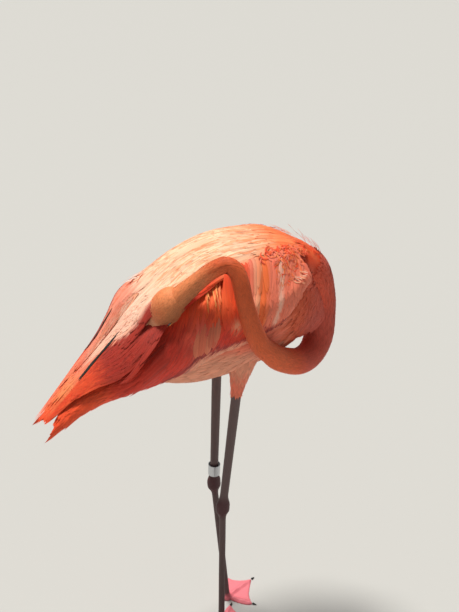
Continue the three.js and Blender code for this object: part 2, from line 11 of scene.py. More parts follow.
import bpy
import numpy as np
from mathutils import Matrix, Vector


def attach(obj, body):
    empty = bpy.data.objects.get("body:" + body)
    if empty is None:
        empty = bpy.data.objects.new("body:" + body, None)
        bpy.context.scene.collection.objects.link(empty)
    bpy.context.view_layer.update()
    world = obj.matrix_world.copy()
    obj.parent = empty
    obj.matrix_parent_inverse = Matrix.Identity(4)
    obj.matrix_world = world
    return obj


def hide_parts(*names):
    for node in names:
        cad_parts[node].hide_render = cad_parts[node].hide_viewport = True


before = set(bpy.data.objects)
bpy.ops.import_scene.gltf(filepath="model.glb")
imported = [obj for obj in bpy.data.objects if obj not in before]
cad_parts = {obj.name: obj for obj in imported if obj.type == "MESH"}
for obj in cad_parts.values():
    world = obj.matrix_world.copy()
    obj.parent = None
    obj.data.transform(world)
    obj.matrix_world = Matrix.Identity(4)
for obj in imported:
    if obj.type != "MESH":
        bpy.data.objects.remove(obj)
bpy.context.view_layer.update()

# %% [markdown]
# ## Measures
#
# The bird is measured from the ground midway between its legs, in millimetres, with +X
# the way the body faces and +Y its left. The model's origin is under the middle of its
# box, so every point is moved by `STANDING_PLACE`. Keeping the maker's own measures and
# moving once at the end is easier to check than moving each number.

# %% Measures and small helpers
MM = 0.001
STANDING_PLACE = np.array([74.3, 10.9, 0.0])
NUDGE = 1e-3


def in_place(points):
    """Millimetres from the ground between the legs, turned into metres from the origin."""
    return (np.asarray(points, float) + STANDING_PLACE) * MM


def unit(vectors):
    """Each vector divided by its length."""
    return vectors / np.maximum(np.linalg.norm(vectors, axis=-1, keepdims=True), 1e-12)


def ramp(x, low, high):
    """0 below low, 1 above high, and 3x^2 - 2x^3 between them."""
    t = np.clip((np.asarray(x, float) - low) / (high - low), 0, 1)
    return t * t * (3 - 2 * t)


def mix(a, b, share):
    """a where share is 0, b where it is 1, and a straight blend between."""
    share = np.asarray(share, float)
    return np.asarray(a) * (1 - share) + np.asarray(b) * share


def through(rows, t):
    """A smooth curve through table rows: the Catmull-Rom cubic, gone on straight past each end."""
    rows = np.asarray(rows, float)
    last = len(rows) - 1
    t = np.asarray(t, float)
    inside = np.clip(t, 0, last)
    i = np.clip(np.floor(inside).astype(int), 0, last - 1)
    f = (inside - i)[..., None]
    a, b, c, d = (rows[np.clip(i + k, 0, last)] for k in (-1, 0, 1, 2))
    slope_b, slope_c = (c - a) / 2, (d - b) / 2
    value = (2 * f**3 - 3 * f**2 + 1) * b + (f**3 - 2 * f**2 + f) * slope_b
    value = value + (3 * f**2 - 2 * f**3) * c + (f**3 - f**2) * slope_c
    past = (t - inside)[..., None]
    end_slope = np.where(past > 0, rows[last] - rows[last - 1], rows[1] - rows[0])
    return value + past * end_slope


print("origin moved by", STANDING_PLACE * MM)

# %% [markdown]
# ## The body as surfaces of two parameters
#
# Each part of the body is a surface: one number runs along it, and the other goes round
# or across it. The same function then makes the skin, says where a feather is rooted,
# and tells a long feather how to follow the body's curve. `depth` sinks the surface
# inwards, so that the skin lies under the coat.

# %% Tables of the body
TRUNK = [[160, 802, 738, 24], [150, 822, 686, 46], [120, 840, 652, 71], [80, 849, 633, 86],
         [30, 854, 619, 95], [-30, 847, 606, 92], [-80, 820, 602, 79], [-125, 778, 609, 59],
         [-165, 734, 623, 40], [-200, 694, 640, 22]]
TAIL = [[-190, 682, 652, 16], [-225, 668, 648, 27], [-262, 648, 635, 30], [-292, 626, 618, 22]]
NECK = [[108, 0, 792, 55], [144, 0, 767, 50], [166, -2, 728, 39], [172, -10, 690, 32],
        [168, -22, 652, 27.5], [146, -38, 629, 25.5], [109, -60, 630, 24.5], [62, -84, 657, 22],
        [35, -100, 683, 19.5], [9, -113, 713, 17.5], [-11, -123, 757, 15.5], [-24, -126, 800, 14.4],
        [-30, -123, 833, 14], [-36, -117, 853, 13.8], [-50, -111, 863, 13.6], [-70, -105, 855, 13.9],
        [-89, -98, 839, 14.4], [-108, -90, 820, 16.4], [-124, -82, 803, 18.5]]
HEAD = [[-36, 9, -9, 10], [-31, 19, -16, 18], [-20, 26, -21, 24], [-6, 28, -23, 26],
        [8, 25, -22, 24.5], [20, 19, -20, 20.5], [29, 14, -18, 16], [34, 11, -16, 13.5]]
WING_FRONT = [[118, 66, 820, 80, 812, 84, 801, 7], [98, 50, 840, 92, 813, 95, 789, 13],
              [66, 40, 850, 104, 798, 103, 750, 14], [25, 34, 853, 109, 792, 105, 728, 14]]
WING = {
    "right": WING_FRONT + [
        [-20, 31, 851, 111, 786, 107, 714, 13], [-65, 28, 838, 112, 774, 108, 706, 12],
        [-110, 26, 810, 110, 756, 102, 684, 11], [-160, 22, 766, 108, 728, 90, 662, 10],
        [-205, 18, 720, 102, 692, 78, 645, 9], [-250, 20, 668, 74, 656, 60, 625, 8],
        [-295, 24, 626, 50, 616, 48, 599, 6], [-345, 35, 571, 41, 569, 42, 564, 4]],
    "left": WING_FRONT + [
        [-20, 31, 851, 111, 786, 105, 708, 13], [-65, 28, 838, 108, 772, 97, 696, 12],
        [-110, 26, 810, 102, 752, 88, 684, 11], [-160, 20, 766, 88, 720, 76, 666, 10],
        [-205, 14, 718, 68, 688, 60, 650, 9], [-250, 13, 667, 46, 653, 42, 632, 8],
        [-300, 15, 612, 28, 605, 28, 592, 6], [-354, 22, 563, 27, 560, 28, 555, 4]],
}
BACK_FRONT = [[130, 0.2, 839, 24, 838, 44, 831, 6], [80, 0.2, 861, 38, 858, 74, 841, 10],
              [30, 0.2, 866, 42, 863, 82, 836, 11], [-30, 0.2, 863, 44, 858, 84, 829, 11],
              [-85, 0.2, 843, 44, 838, 84, 807, 10]]
BACK = {
    "right": BACK_FRONT + [
        [-135, 0.2, 808, 46, 804, 88, 777, 10], [-180, 0.2, 762, 56, 776, 114, 745, 9],
        [-220, 0.2, 716, 56, 735, 108, 703, 8], [-262, 0.2, 673, 38, 688, 72, 672, 7],
        [-300, 0.2, 637, 22, 641, 42, 633, 6], [-342, 2, 590, 12, 589, 21, 585, 4]],
    "left": BACK_FRONT + [
        [-135, 0.2, 808, 46, 806, 88, 775, 10], [-180, 0.2, 768, 38, 781, 82, 751, 9],
        [-208, 0.2, 734, 28, 745, 64, 716, 8], [-235, 0.2, 703, 20, 707, 46, 692, 8],
        [-280, 0.2, 655, 14, 659, 28, 651, 7], [-350, 3, 581, 12, 578, 19, 574, 4]],
}
LEG = {
    "right": {"hub": (-31, -32, 0), "ankle": (-27, -33, 320),
              "feathers": (-2, -40, 579), "hip": (10, -46, 672)},
    "left": {"hub": (9, 35, 0), "ankle": (-14, 49, 315),
             "feathers": (-6, 47, 590), "hip": (-2, 45, 672)},
}
SIDES = {"right": -1, "left": 1}
NECK_END = 18   # the last row of the neck's table
HEAD_CENTRE = np.array([-141.0, -76.0, 789.0])
HEAD_FORWARD = unit(np.array([-0.73, -0.04, -0.68]))
HEAD_CROWN = np.array([-0.12, -0.86, 0.4])
HEAD_CROWN = unit(HEAD_CROWN - HEAD_CROWN @ HEAD_FORWARD * HEAD_FORWARD)
HEAD_LEFT = np.cross(HEAD_CROWN, HEAD_FORWARD)
HEAD_AXES = np.stack([HEAD_FORWARD, HEAD_LEFT, HEAD_CROWN])
LEVEL = np.array([0.0, 1.0, 0.0])


def from_head(points):
    """Points of the head's own frame (x to the bill, y left, z to the crown), in the bird's."""
    return HEAD_CENTRE + np.asarray(points, float) @ HEAD_AXES


print("tables:", len(NECK), "rows of neck,", len(WING["right"]), "of wing,", len(BACK["right"]), "of back")

# %% [markdown]
# ## Round surfaces
#
# Trunk, tail and head are ellipses that stand on a line. Neck and thighs are round tubes
# that follow a curve, each ring square to it. Both are one formula for every point at
# once, so a whole part is worked out in a single call.

# %% Round surfaces
def upright_sections(rows, t, turn, depth):
    """Ellipses that stand upright on x: half width times cosine, half height times sine."""
    x, top, bottom, half = np.moveaxis(through(rows, t), -1, 0)
    angle = 2 * np.pi * turn
    across = (half - depth) * np.cos(angle)
    up = (top + bottom) / 2 + ((top - bottom) / 2 - depth) * np.sin(angle)
    return np.stack([x, across, up], -1)


def trunk_at(t, turn, depth=0.0):
    """The trunk, from the breast (t = 0) to the rump."""
    return upright_sections(TRUNK, t, turn, depth)


def tail_at(t, turn, depth=0.0):
    """The tail, from under the rump to its tip."""
    return upright_sections(TAIL, t, turn, depth)


def head_at(t, turn, depth=0.0):
    """The head, from the nape (t = 0) to the base of the bill, carried into its tilted frame."""
    return from_head(upright_sections(HEAD, t, turn, depth))


def tube_at(centre, radius, t, turn, flatness=1.0):
    """A round tube: its centre line, plus level-across times cosine and up times sine of the turn."""
    along = unit(centre(t + NUDGE) - centre(t - NUDGE))
    across = unit(LEVEL - along * along[..., 1:2])
    up = np.cross(along, across)
    angle = 2 * np.pi * turn
    r = radius[..., None]
    level = r * flatness * np.cos(angle)[..., None] * across
    return centre(t) + level + r * np.sin(angle)[..., None] * up


def neck_line(t):
    """The middle of the neck."""
    return through(NECK, t)[..., :3]


def neck_at(t, turn, depth=0.0):
    """The neck, from inside the breast (t = 0) to the back of the head."""
    return tube_at(neck_line, through(NECK, t)[..., 3] - depth, t, turn)


def thigh_line(side):
    """The middle of the feathered thigh, from its lowest feathers (t = 0) to the hip."""
    low, high = (np.array(LEG[side][name], float) for name in ("feathers", "hip"))
    return lambda t: low + np.asarray(t, float)[..., None] * (high - low)


def thigh_at(side):
    """The thigh: a cone whose radius grows from the shank's to the hip's."""
    def surface(t, turn, depth=0.0):
        radius = mix(11.6, 34.0, np.clip(t, 0, 2) ** 1.15) - depth
        return tube_at(thigh_line(side), np.maximum(radius, 4.0), t, turn, flatness=0.85)
    return surface


print("neck from", neck_line(np.array(0.0)).round(), "to", neck_line(np.array(NECK_END)).round())

# %% [markdown]
# ## Folded panels
#
# A folded wing, or one half of the back, isn't round: it is a curved sheet that lies
# against the body. Each row of its table gives three points across, and a quadratic runs
# through them. To lay feathers, the way out of the body must be known at every point, so
# each part also says where its inside is.

# %% Folded panels
def panel_at(table, sign):
    """A folded panel: along its rows, and across through three points by Lagrange's quadratic."""
    def surface(t, u, depth=0.0):
        x, ty, tz, my, mz, ly, lz, _ = np.moveaxis(through(table, t), -1, 0)
        a, b, c = 2 * (u - 0.5) * (u - 1), 4 * u * (1 - u), 2 * u * (u - 0.5)
        out, up = a * ty + b * my + c * ly, a * tz + b * mz + c * lz
        run_out = (4 * u - 3) * ty + (4 - 8 * u) * my + (4 * u - 1) * ly
        run_up = (4 * u - 3) * tz + (4 - 8 * u) * mz + (4 * u - 1) * lz
        size = np.maximum(np.hypot(run_out, run_up), 1e-9)
        out, up = out + depth * run_up / size, up - depth * run_out / size
        return np.stack([x, sign * out, up], -1)
    return surface


def inside_of(kind, sign=0):
    """A point inside the body near a surface point, which tells inwards from outwards."""
    centres = {
        "trunk": lambda t, p: np.stack([p[..., 0], 0 * t, through(TRUNK, t)[..., 1:3].mean(-1)], -1),
        "tail": lambda t, p: np.stack([p[..., 0], 0 * t, through(TAIL, t)[..., 1:3].mean(-1)], -1),
        "neck": lambda t, p: neck_line(t),
        "head": lambda t, p: from_head(np.stack([through(HEAD, t)[..., 0], 0 * t, 0 * t + 2], -1)),
        "panel": lambda t, p: p - np.array([0.0, sign * 60.0, 40.0]),
    }
    return centres[kind]


neck_run = np.diff(neck_line(np.linspace(0, NECK_END, 400)), axis=0)
print("neck length:", round(float(np.linalg.norm(neck_run, axis=1).sum())), "mm")

# %% [markdown]
# ## The palette
#
# A flamingo's pink comes from what it eats, so it is strongest in fresh feathers and
# fades where the sun bleaches them. The palette is written in everyday sRGB numbers and
# turned into linear light, because that is what a shader adds up.

# %% The palette
PALETTE = {
    "cream": (250, 202, 166), "peach": (246, 172, 132), "blush": (248, 182, 156),
    "shell": (252, 196, 170), "apricot": (246, 134, 78), "ember": (246, 112, 52),
    "coral": (240, 122, 92), "flame": (238, 78, 30), "scarlet": (212, 44, 20),
    # The next row's first two colours are painted shade: a dark scarlet for red feathers under overhanging
    # plumes, and a dark wine for the wing's lower edge.
    "shaded_scarlet": (164, 38, 16), "edge_shade_wine": (128, 26, 22), "rose": (206, 112, 92),
    # The next row's first colour is painted shade: a dusky mauve for the breast's low front and the flank
    # under the wing's rear.
    "shade_mauve": (176, 84, 80), "down": (232, 152, 120), "neck": (224, 98, 46),
    "nape": (222, 80, 46), "face": (242, 138, 84), "crown": (250, 152, 94),
    # The next row's first colour is painted shade: olive-brown for the head's shaded left side.
    "shade_olive": (152, 88, 50), "tan": (216, 128, 92), "straw": (250, 170, 92),
    # The next row's last colour is the legs' greyish pink, darkened to painted shade as under the body.
    "frost": (236, 218, 204), "soot": (30, 26, 22), "shin_in_shade": (100, 78, 76),
    "knee": (80, 38, 42), "web": (226, 120, 130),
}


def linear(name):
    """A palette colour as linear light: the sRGB curve undone."""
    c = np.array(PALETTE[name]) / 255
    return np.where(c <= 0.04045, c / 12.92, ((c + 0.055) / 1.055) ** 2.4)


def near(points, centre, size):
    """1 at a centre and falling to 0 away from it, as a bell of that size in millimetres."""
    gap = (points - np.asarray(centre, float)) / np.asarray(size, float)
    return np.exp(-(gap**2).sum(-1))[..., None]


def stops(value, rows):
    """A colour read off a scale: rows of (value, palette name), blended between."""
    places = [row[0] for row in rows]
    colours = np.array([linear(row[1]) for row in rows])
    return np.stack([np.interp(value, places, colours[:, k]) for k in range(3)], -1)


print("palette:", ", ".join(sorted(PALETTE)))

# %% [markdown]
# ## Markings of the back and the wings
#
# The long plumes of the back are palest, and the wing coverts reddest. Each marking is a
# scale along the bird, changed by soft ramps and bells at their places in millimetres.
# That is how a painter's notes would give them: so far back, so far down, this colour.
# Some of them are painted light and shade: a bright patch between the neck's limbs, dark
# red under the plumes' overhang, and a dark line along the wing's lower edge with dusky
# mauve under it.

# %% Markings of the back and the wings
UPPER_BACK = (   # place along the bird, colour of the long plumes there
    (-342, "flame"), (-300, "apricot"), (-268, "coral"), (-246, "blush"), (-222, "blush"),
    (-180, "shell"), (-112, "cream"), (-10, "cream"), (36, "peach"), (72, "apricot"),
    (104, "apricot"), (128, "flame"))
# From -238 to -150 the red is painted shade under the plumes' overhang.
LOWER_BACK = (   # the same for the red feathers under their ends
    (-342, "flame"), (-270, "flame"), (-238, "shaded_scarlet"), (-150, "shaded_scarlet"), (-110, "scarlet"),
    (-60, "flame"), (-10, "apricot"), (40, "coral"), (90, "apricot"), (120, "flame"))
RED_FROM = (   # place along the bird, share across where pale gives way to red
    (-342, 0.9), (-300, 0.74), (-275, 0.62), (-255, 0.50), (-242, 0.44), (-227, 0.48),
    (-220, 0.52), (-203, 0.64), (-181, 0.68), (-155, 0.70), (-110, 0.76), (-60, 0.82),
    (0, 0.88), (120, 0.9))
SHOULDER = (   # the shoulder's bands, from the rear forwards
    (-60, "flame"), (-16, "flame"), (-6, "coral"), (3, "peach"), (9, "ember"), (21, "ember"),
    (27, "coral"), (41, "coral"), (45, "blush"), (48, "blush"), (53, "coral"), (120, "coral"))
FLANK = (   # place along the bird, height where the red wing gives way to the pale flank
    (-190, 640), (-160, 652), (-130, 668), (-118, 680), (-100, 702), (-87, 710), (-40, 716),
    (5, 722), (60, 735))
LOWER_EDGE_OUT = 5   # the column of a panel's table that says how far out its lower edge is


def table_reach(table, x, column):
    """One column of a panel's table at x; the tables run towards smaller x."""
    rows = np.array(table)[::-1]
    return np.interp(x, rows[:, 0], rows[:, column])


def back_marking(points):
    """Pale long plumes along the ridge, red ones below them from a line that sinks forwards, darkened
    behind by painted shade under the plumes' overhang.
    """
    x, y, _ = np.moveaxis(points, -1, 0)
    reach = [table_reach(BACK[side], x, LOWER_EDGE_OUT) for side in SIDES]
    share = np.abs(y) / np.where(y < 0, *reach)
    begins = np.interp(x, *np.transpose(RED_FROM))
    left_ridge = (ramp(y, 0, 8) * ramp(-x, 150, 168))[..., None]
    upper = mix(stops(x, UPPER_BACK), linear("coral"), left_ridge * 0.75)
    wave = 0.5 + 0.5 * np.sin(0.17 * y + 0.055 * x + 1.6 * np.sin(0.05 * x + 0.06 * y))
    upper = mix(upper, linear("apricot"), (wave**3 * ramp(x, -170, -120))[..., None] * 0.45)
    return mix(upper, stops(x, LOWER_BACK), ramp(share, begins - 0.06, begins + 0.06)[..., None])


def wing_marking(points):
    """Hanging bands of pale and orange at the shoulder and red behind, with painted light between the
    neck's limbs, and painted shade under the back's plumes, along the lower edge and below it.
    """
    x, _, z = np.moveaxis(points, -1, 0)
    seen = np.stack([x, z], -1)
    flank = np.interp(x, *np.transpose(FLANK))
    low = (ramp(-x, -10, 60) * ramp(790 - z, 0, 50))[..., None]
    colour = mix(linear("flame"), linear("scarlet"), low * 0.9)
    # Bells of colour: the first, ember, is painted light on the patch between the neck's limbs; the second
    # is painted shade under the back plumes' overhang; rose and peach are the feathers' own colours.
    for name, centre, size, share in (
            ("ember", (-66, 802), (26, 22), 0.8), ("shaded_scarlet", (-185, 740), (62, 34), 0.8),
            ("rose", (-94, 736), (22, 34), 0.6), ("peach", (-33, 757), (9, 9), 0.8)):
        colour = mix(colour, linear(name), near(seen, centre, size) * share)
    # Painted shade: a dark wine line along the wing's lower edge, and dusky mauve on the flank under the
    # wing's rear.
    edge = (np.exp(-(((z - flank - 6) / 7) ** 2)) * ramp(x, -175, -140))[..., None]
    colour = mix(colour, linear("edge_shade_wine"), edge * 0.9)
    pale = mix(linear("shade_mauve"), linear("down"), ramp(x, -130, -95)[..., None])
    colour = mix(colour, pale, (ramp(flank - z, -2, 5) * ramp(x, -185, -150))[..., None])
    shoulder = ramp(x, -24, 0) * ramp(z - flank, 8, 20)
    colour = mix(colour, stops(x - 0.27 * (z - 790), SHOULDER), shoulder[..., None])
    return mix(colour, linear("flame"), ramp(-x, 215, 260)[..., None])


print("scales of colour:", len(UPPER_BACK), "stops on the back,", len(SHOULDER), "on the shoulder")

# %% [markdown]
# ## Markings of the head, neck and body
#
# The neck is a velvety orange that reddens towards the breast and turns into the head's
# colours near the head. Painted shade darkens the neck's low front and the head's left
# side. One function gives the colour at any point of a part. Skin and feathers both ask
# it, so they carry the same markings.

# %% Markings of the head, neck and body
def head_marking(points):
    """A warm crown, painted shade in olive-brown on the head's left side, and a pale cheek."""
    local = (points - HEAD_CENTRE) @ HEAD_AXES.T
    # Painted shade: olive-brown over the head's left side.
    colour = mix(linear("crown"), linear("shade_olive"), ramp(local[..., 1:2], -4, 20) * 0.65)
    return mix(colour, linear("peach"), near(local, (28, -6, 8), (16, 20, 16)) * 0.8)


def neck_marking(points):
    """Orange, redder forwards, painted shade low in front, and the head's colours close to it."""
    x, _, z = np.moveaxis(points, -1, 0)
    colour = mix(linear("neck"), linear("nape"), ramp(x, 40, 150)[..., None])
    # Painted shade: the neck's low front, which faces down, is darkened towards mauve.
    low_front_shade = (ramp(x, 90, 130) * ramp(750 - z, 0, 60))[..., None]
    colour = mix(colour, linear("shade_mauve"), low_front_shade * 0.35)
    colour = mix(colour, linear("face"), ramp(-x, 60, 100)[..., None])
    close = ramp(104 - np.linalg.norm(points - HEAD_CENTRE, axis=-1), 0, 50)
    return mix(colour, head_marking(points), close[..., None])


def trunk_marking(points):
    """Coral above, pale down below, and the neck's colour over the breast."""
    x, _, z = np.moveaxis(points, -1, 0)
    colour = mix(linear("coral"), linear("down"), ramp(700 - z, 0, 30)[..., None])
    return mix(colour, neck_marking(points) * 0.94, ramp(x, 50, 96)[..., None])


def thigh_marking(points):
    """Coral at the lowest feathers, pale down above them."""
    return mix(linear("coral"), linear("down"), ramp(points[..., 2], 590, 635)[..., None])


MARKINGS = {
    "head": head_marking, "neck": neck_marking, "trunk": trunk_marking, "thigh": thigh_marking,
    "wing": wing_marking, "back": back_marking,
}


def marking(part, points):
    """The colour of the plumage of a part at points in the bird's millimetres."""
    return MARKINGS[part](np.asarray(points, float))


print("markings:", ", ".join(MARKINGS))

# %% [markdown]
# ## The camera
#
# The viewer stands at the bird's right side, a little behind it, and looks down on it
# from a person's eye height. The feet nearly leave the frame.

# %% Camera
EYE_PLACE_OF_VIEWER = np.array([-469.0, -1162.0, 1353.0])
LOOK_LEVEL = np.array([0.3746, 0.9272])
LOOK_DOWN = math.radians(26.35)
LENS = 47.06

camera_data = bpy.data.cameras.new("viewer")
camera_data.lens = LENS
camera_data.sensor_width = 36
camera = bpy.data.objects.new("viewer", camera_data)
bpy.context.collection.objects.link(camera)
camera.location = in_place(EYE_PLACE_OF_VIEWER)
camera.rotation_euler = (math.pi / 2 - LOOK_DOWN, 0, math.atan2(-LOOK_LEVEL[0], LOOK_LEVEL[1]))
bpy.context.scene.camera = camera
print("camera height:", round(camera.location.z, 3))

# %% [markdown]
# ## From arrays to meshes
#
# A grid of points becomes a mesh by joining each point to its neighbours. The index
# arithmetic is done for the whole grid at once, which is far quicker than adding faces
# one by one. Colours go in as a point attribute, and texture places as a UV map.

# %% Mesh makers
def grid_faces(rows, columns, closed=False):
    """Quads of a grid of rows by columns; closed joins the last column to the first."""
    wide = columns if closed else columns - 1
    i, j = np.meshgrid(np.arange(rows - 1), np.arange(wide), indexing="ij")
    k = (j + 1) % columns
    row, next_row = i * columns, (i + 1) * columns
    return np.stack([row + j, row + k, next_row + k, next_row + j], -1).reshape(-1, 4)


def mesh_from(name, points, faces, tint=None, uvs=None, smooth=True):
    """A mesh object from points in the bird's millimetres and quads or triangles."""
    mesh = bpy.data.meshes.new(name)
    points, faces = in_place(points).reshape(-1, 3), np.asarray(faces)
    sides = faces.shape[1]
    mesh.vertices.add(len(points))
    mesh.vertices.foreach_set("co", points.astype(np.float32).ravel())
    mesh.loops.add(faces.size)
    mesh.loops.foreach_set("vertex_index", faces.astype(np.int32).ravel())
    mesh.polygons.add(len(faces))
    mesh.polygons.foreach_set("loop_start", np.arange(0, faces.size, sides, dtype=np.int32))
    mesh.polygons.foreach_set("use_smooth", np.full(len(faces), smooth))
    mesh.update(calc_edges=True)
    if tint is not None:
        layer = mesh.color_attributes.new("tint", "FLOAT_COLOR", "POINT")
        rgba = np.concatenate([np.clip(tint.reshape(-1, 3), 0, 1), np.ones((len(points), 1))], 1)
        layer.data.foreach_set("color", rgba.astype(np.float32).ravel())
    for label, uv in (uvs or {}).items():
        layer = mesh.uv_layers.new(name=label)
        layer.data.foreach_set("uv", uv.reshape(-1, 2)[faces.ravel()].astype(np.float32).ravel())
    mesh.validate()
    piece = bpy.data.objects.new(name, mesh)
    bpy.context.collection.objects.link(piece)
    return piece


def closed_loft(rings):
    """Points and quads of a tube of rings with both ends drawn together to their middles."""
    count, sides, _ = rings.shape
    caps = [np.repeat(rings[k].mean(0)[None], sides, 0)[None] for k in (0, -1)]
    whole = np.concatenate([caps[0], rings, caps[1]])
    return whole.reshape(-1, 3), grid_faces(count + 2, sides, closed=True)


def surface_loft(surface, t0, t1, count, sides, depth):
    """A closed loft of a surface that goes round, sunk by depth."""
    t, turn = np.meshgrid(np.linspace(t0, t1, count), np.arange(sides) / sides, indexing="ij")
    return closed_loft(surface(t, turn, depth))


def panel_loft(table, sign, t1, count, across, depth):
    """A closed panel: its outer face sunk by depth, its inner face one thickness in."""
    t, u = np.meshgrid(np.linspace(0, t1, count), np.linspace(0.03, 0.97, across), indexing="ij")
    surface = panel_at(table, sign)
    thick = through(table, t)[..., 7] * (0.35 + 0.65 * np.sin(np.pi * u))
    outer = surface(t, u, np.minimum(depth, thick * 0.4))
    inner = surface(t, u, thick)
    return closed_loft(np.concatenate([outer, inner[:, ::-1]], 1))


print("a closed grid of 3 by 4 points has", len(grid_faces(3, 4, closed=True)), "quads")

# %% [markdown]
# ## Legs
#
# A flamingo's leg is bare from the lower thigh down: a thin flat-sided rod with a knobby
# ankle half way up. It is a tube whose width changes with height, because the eye reads
# a leg by its outline: thin, thick at the joint, and thin again.

# %% Legs
LEG_FLATNESS = 0.72
LEG_FROM, LEG_TO = 3.5, 640   # heights of the bare leg's ends, inside the foot and the thigh


def leg_line(side):
    """The middle of the leg, with the height as its parameter: straight between its joints."""
    stations = np.array([LEG[side][k] for k in ("hub", "ankle", "feathers", "hip")], float)

    def line(z):
        z = np.asarray(z, float)
        x, y = (np.interp(z, stations[:, 2], stations[:, k]) for k in (0, 1))
        return np.stack([x, y, z], -1)
    return line


def leg_radius(side, z):
    """Half the leg's depth: tarsus below, shank above, a bell for the ankle, a flare on the foot."""
    ankle = LEG[side]["ankle"][2]
    rod = mix(6.8, mix(8.4, 9.6, ramp(z, ankle, 590)), ramp(z, ankle - 25, ankle + 25))
    knob = 6.4 * np.exp(-np.abs((z - ankle) / 16.5) ** 2.6)
    condyle = 1.5 * np.exp(-(((z - ankle + 11) / 6.0) ** 2))
    return rod + knob + condyle + 2.0 * (1 - np.clip(z / 24, 0, 1)) ** 2


def leg_loft(side):
    """The bare leg, from inside the foot to inside the thigh's feathers."""
    z, turn = np.meshgrid(np.linspace(LEG_FROM, LEG_TO, 190), np.arange(28) / 28, indexing="ij")
    line = leg_line(side)
    return closed_loft(tube_at(line, leg_radius(side, z), z, turn, LEG_FLATNESS))


print("leg depth at the ankle:", round(float(2 * leg_radius("right", np.array([320.0]))[0]), 1), "mm")

# %% [markdown]
# ## Feet
#
# The leg stands on three webbed toes and a small hind toe. The foot is a height map over
# its own fan shape: a ridge along each toe with thin web between, drawn in by a scallop
# from toe to toe. Leg, foot and hind toe are joined by a remesh later on.

# %% Feet
TOES = {"outer": (70, 56), "middle": (76, 0), "inner": (58, -62)}   # length, turn in degrees
FOOT_TURN = {"right": -14, "left": 22}
SOLE_THICKNESS = 11
TOE_HEIGHT, WEB_THICKNESS = 8.5, 2.2


def toe_reach(turn):
    """How far the foot's edge is from the hub: toe to toe, drawn in by a scallop between them."""
    order = sorted(TOES.values(), key=lambda toe: toe[1])
    turns, lengths = [t for _, t in order], [n for n, _ in order]
    straight = np.interp(turn, turns, lengths)
    share = np.interp(turn, turns, [0, 1, 2]) % 1.0
    web = straight * (1 - 0.25 * np.sin(np.pi * share) ** 0.8)
    flank = np.maximum(turns[0] - turn, turn - turns[-1])
    return mix(web, 9.0, ramp(flank, 0, 26))


def foot_loft(side):
    """The foot: rings from the hub out over the toes' ridges and webs, and flat underneath."""
    mirror = SIDES[side]
    turn = np.linspace(-118, 242, 150, endpoint=False)
    turn = np.where(turn > 180, turn - 360, turn)
    share = np.linspace(0.03, 1, 26)[:, None]
    reach = toe_reach(turn)[None]
    r = share * reach
    height = np.full(r.shape, WEB_THICKNESS)
    for length, toe in TOES.values():
        aside = r * np.sin(np.radians(np.clip(turn[None] - toe, -90, 90)))
        ahead = r * np.cos(np.radians(turn[None] - toe)) / length
        knuckle = 1 + 0.16 * np.cos(ahead * np.pi * 6)
        ridge = (TOE_HEIGHT - WEB_THICKNESS) * (1 - 0.45 * ahead) * knuckle
        toe_shape = ridge * np.exp(-((aside / 4.3) ** 2)) * np.clip(r / 8, 0, 1)
        height = height + np.where(ahead > 0, toe_shape, 0)
    height = np.maximum(height, SOLE_THICKNESS * np.exp(-((r / 13) ** 4)))
    height = height * (1 - 0.65 * ramp(share, 0.93, 1))
    angle = np.radians(FOOT_TURN[side] + mirror * turn)[None]
    hub = LEG[side]["hub"]
    place = lambda r, z: np.stack([hub[0] + r * np.cos(angle), hub[1] + r * np.sin(angle), z], -1)
    return closed_loft(np.concatenate([place(r, height), place(r, 0 * r)[::-1]]))


def foot_back(side):
    """The level direction from a foot's hub to its hind toe."""
    heading = math.radians(FOOT_TURN[side])
    return np.array([-math.cos(heading), -math.sin(heading), 0.0])


def hallux_loft(side):
    """The hind toe: a short peg sloping down behind the hub."""
    hub = np.array(LEG[side]["hub"], float)
    root = hub + foot_back(side) * 4 + [0, 0, 6.4]
    end = hub + foot_back(side) * 15 + [0, 0, 2.3]
    line = lambda s: root + np.asarray(s)[..., None] * (end - root)
    t, turn = np.meshgrid(np.linspace(0, 1, 9), np.arange(14) / 14, indexing="ij")
    return closed_loft(tube_at(line, mix(3.4, 2.3, t), t, turn))


print("the foot reaches", round(float(toe_reach(np.array(0.0)))), "mm along its middle toe")

# %% [markdown]
# ## One skin
#
# Under its feathers a bird is one skin, drawn over breast, neck, wings and thighs. Lofts
# sunk by the coat's depth overlap each other freely, and a voxel remesh keeps only their
# common outside. The body's part is remeshed coarsely, because feathers cover it.

# %% The skin
COAT_DEPTH = {"trunk": 6.0, "neck": 2.2, "head": 1.4, "thigh": 4.0, "panel": 3.5, "tail": 3.0}
BODY_VOXEL = 4.6


def joined(parts):
    """Several (points, faces) pairs as one."""
    starts = np.cumsum([0] + [len(p) for p, _ in parts[:-1]])
    faces = np.concatenate([f + start for (_, f), start in zip(parts, starts)])
    return np.concatenate([p for p, _ in parts]), faces


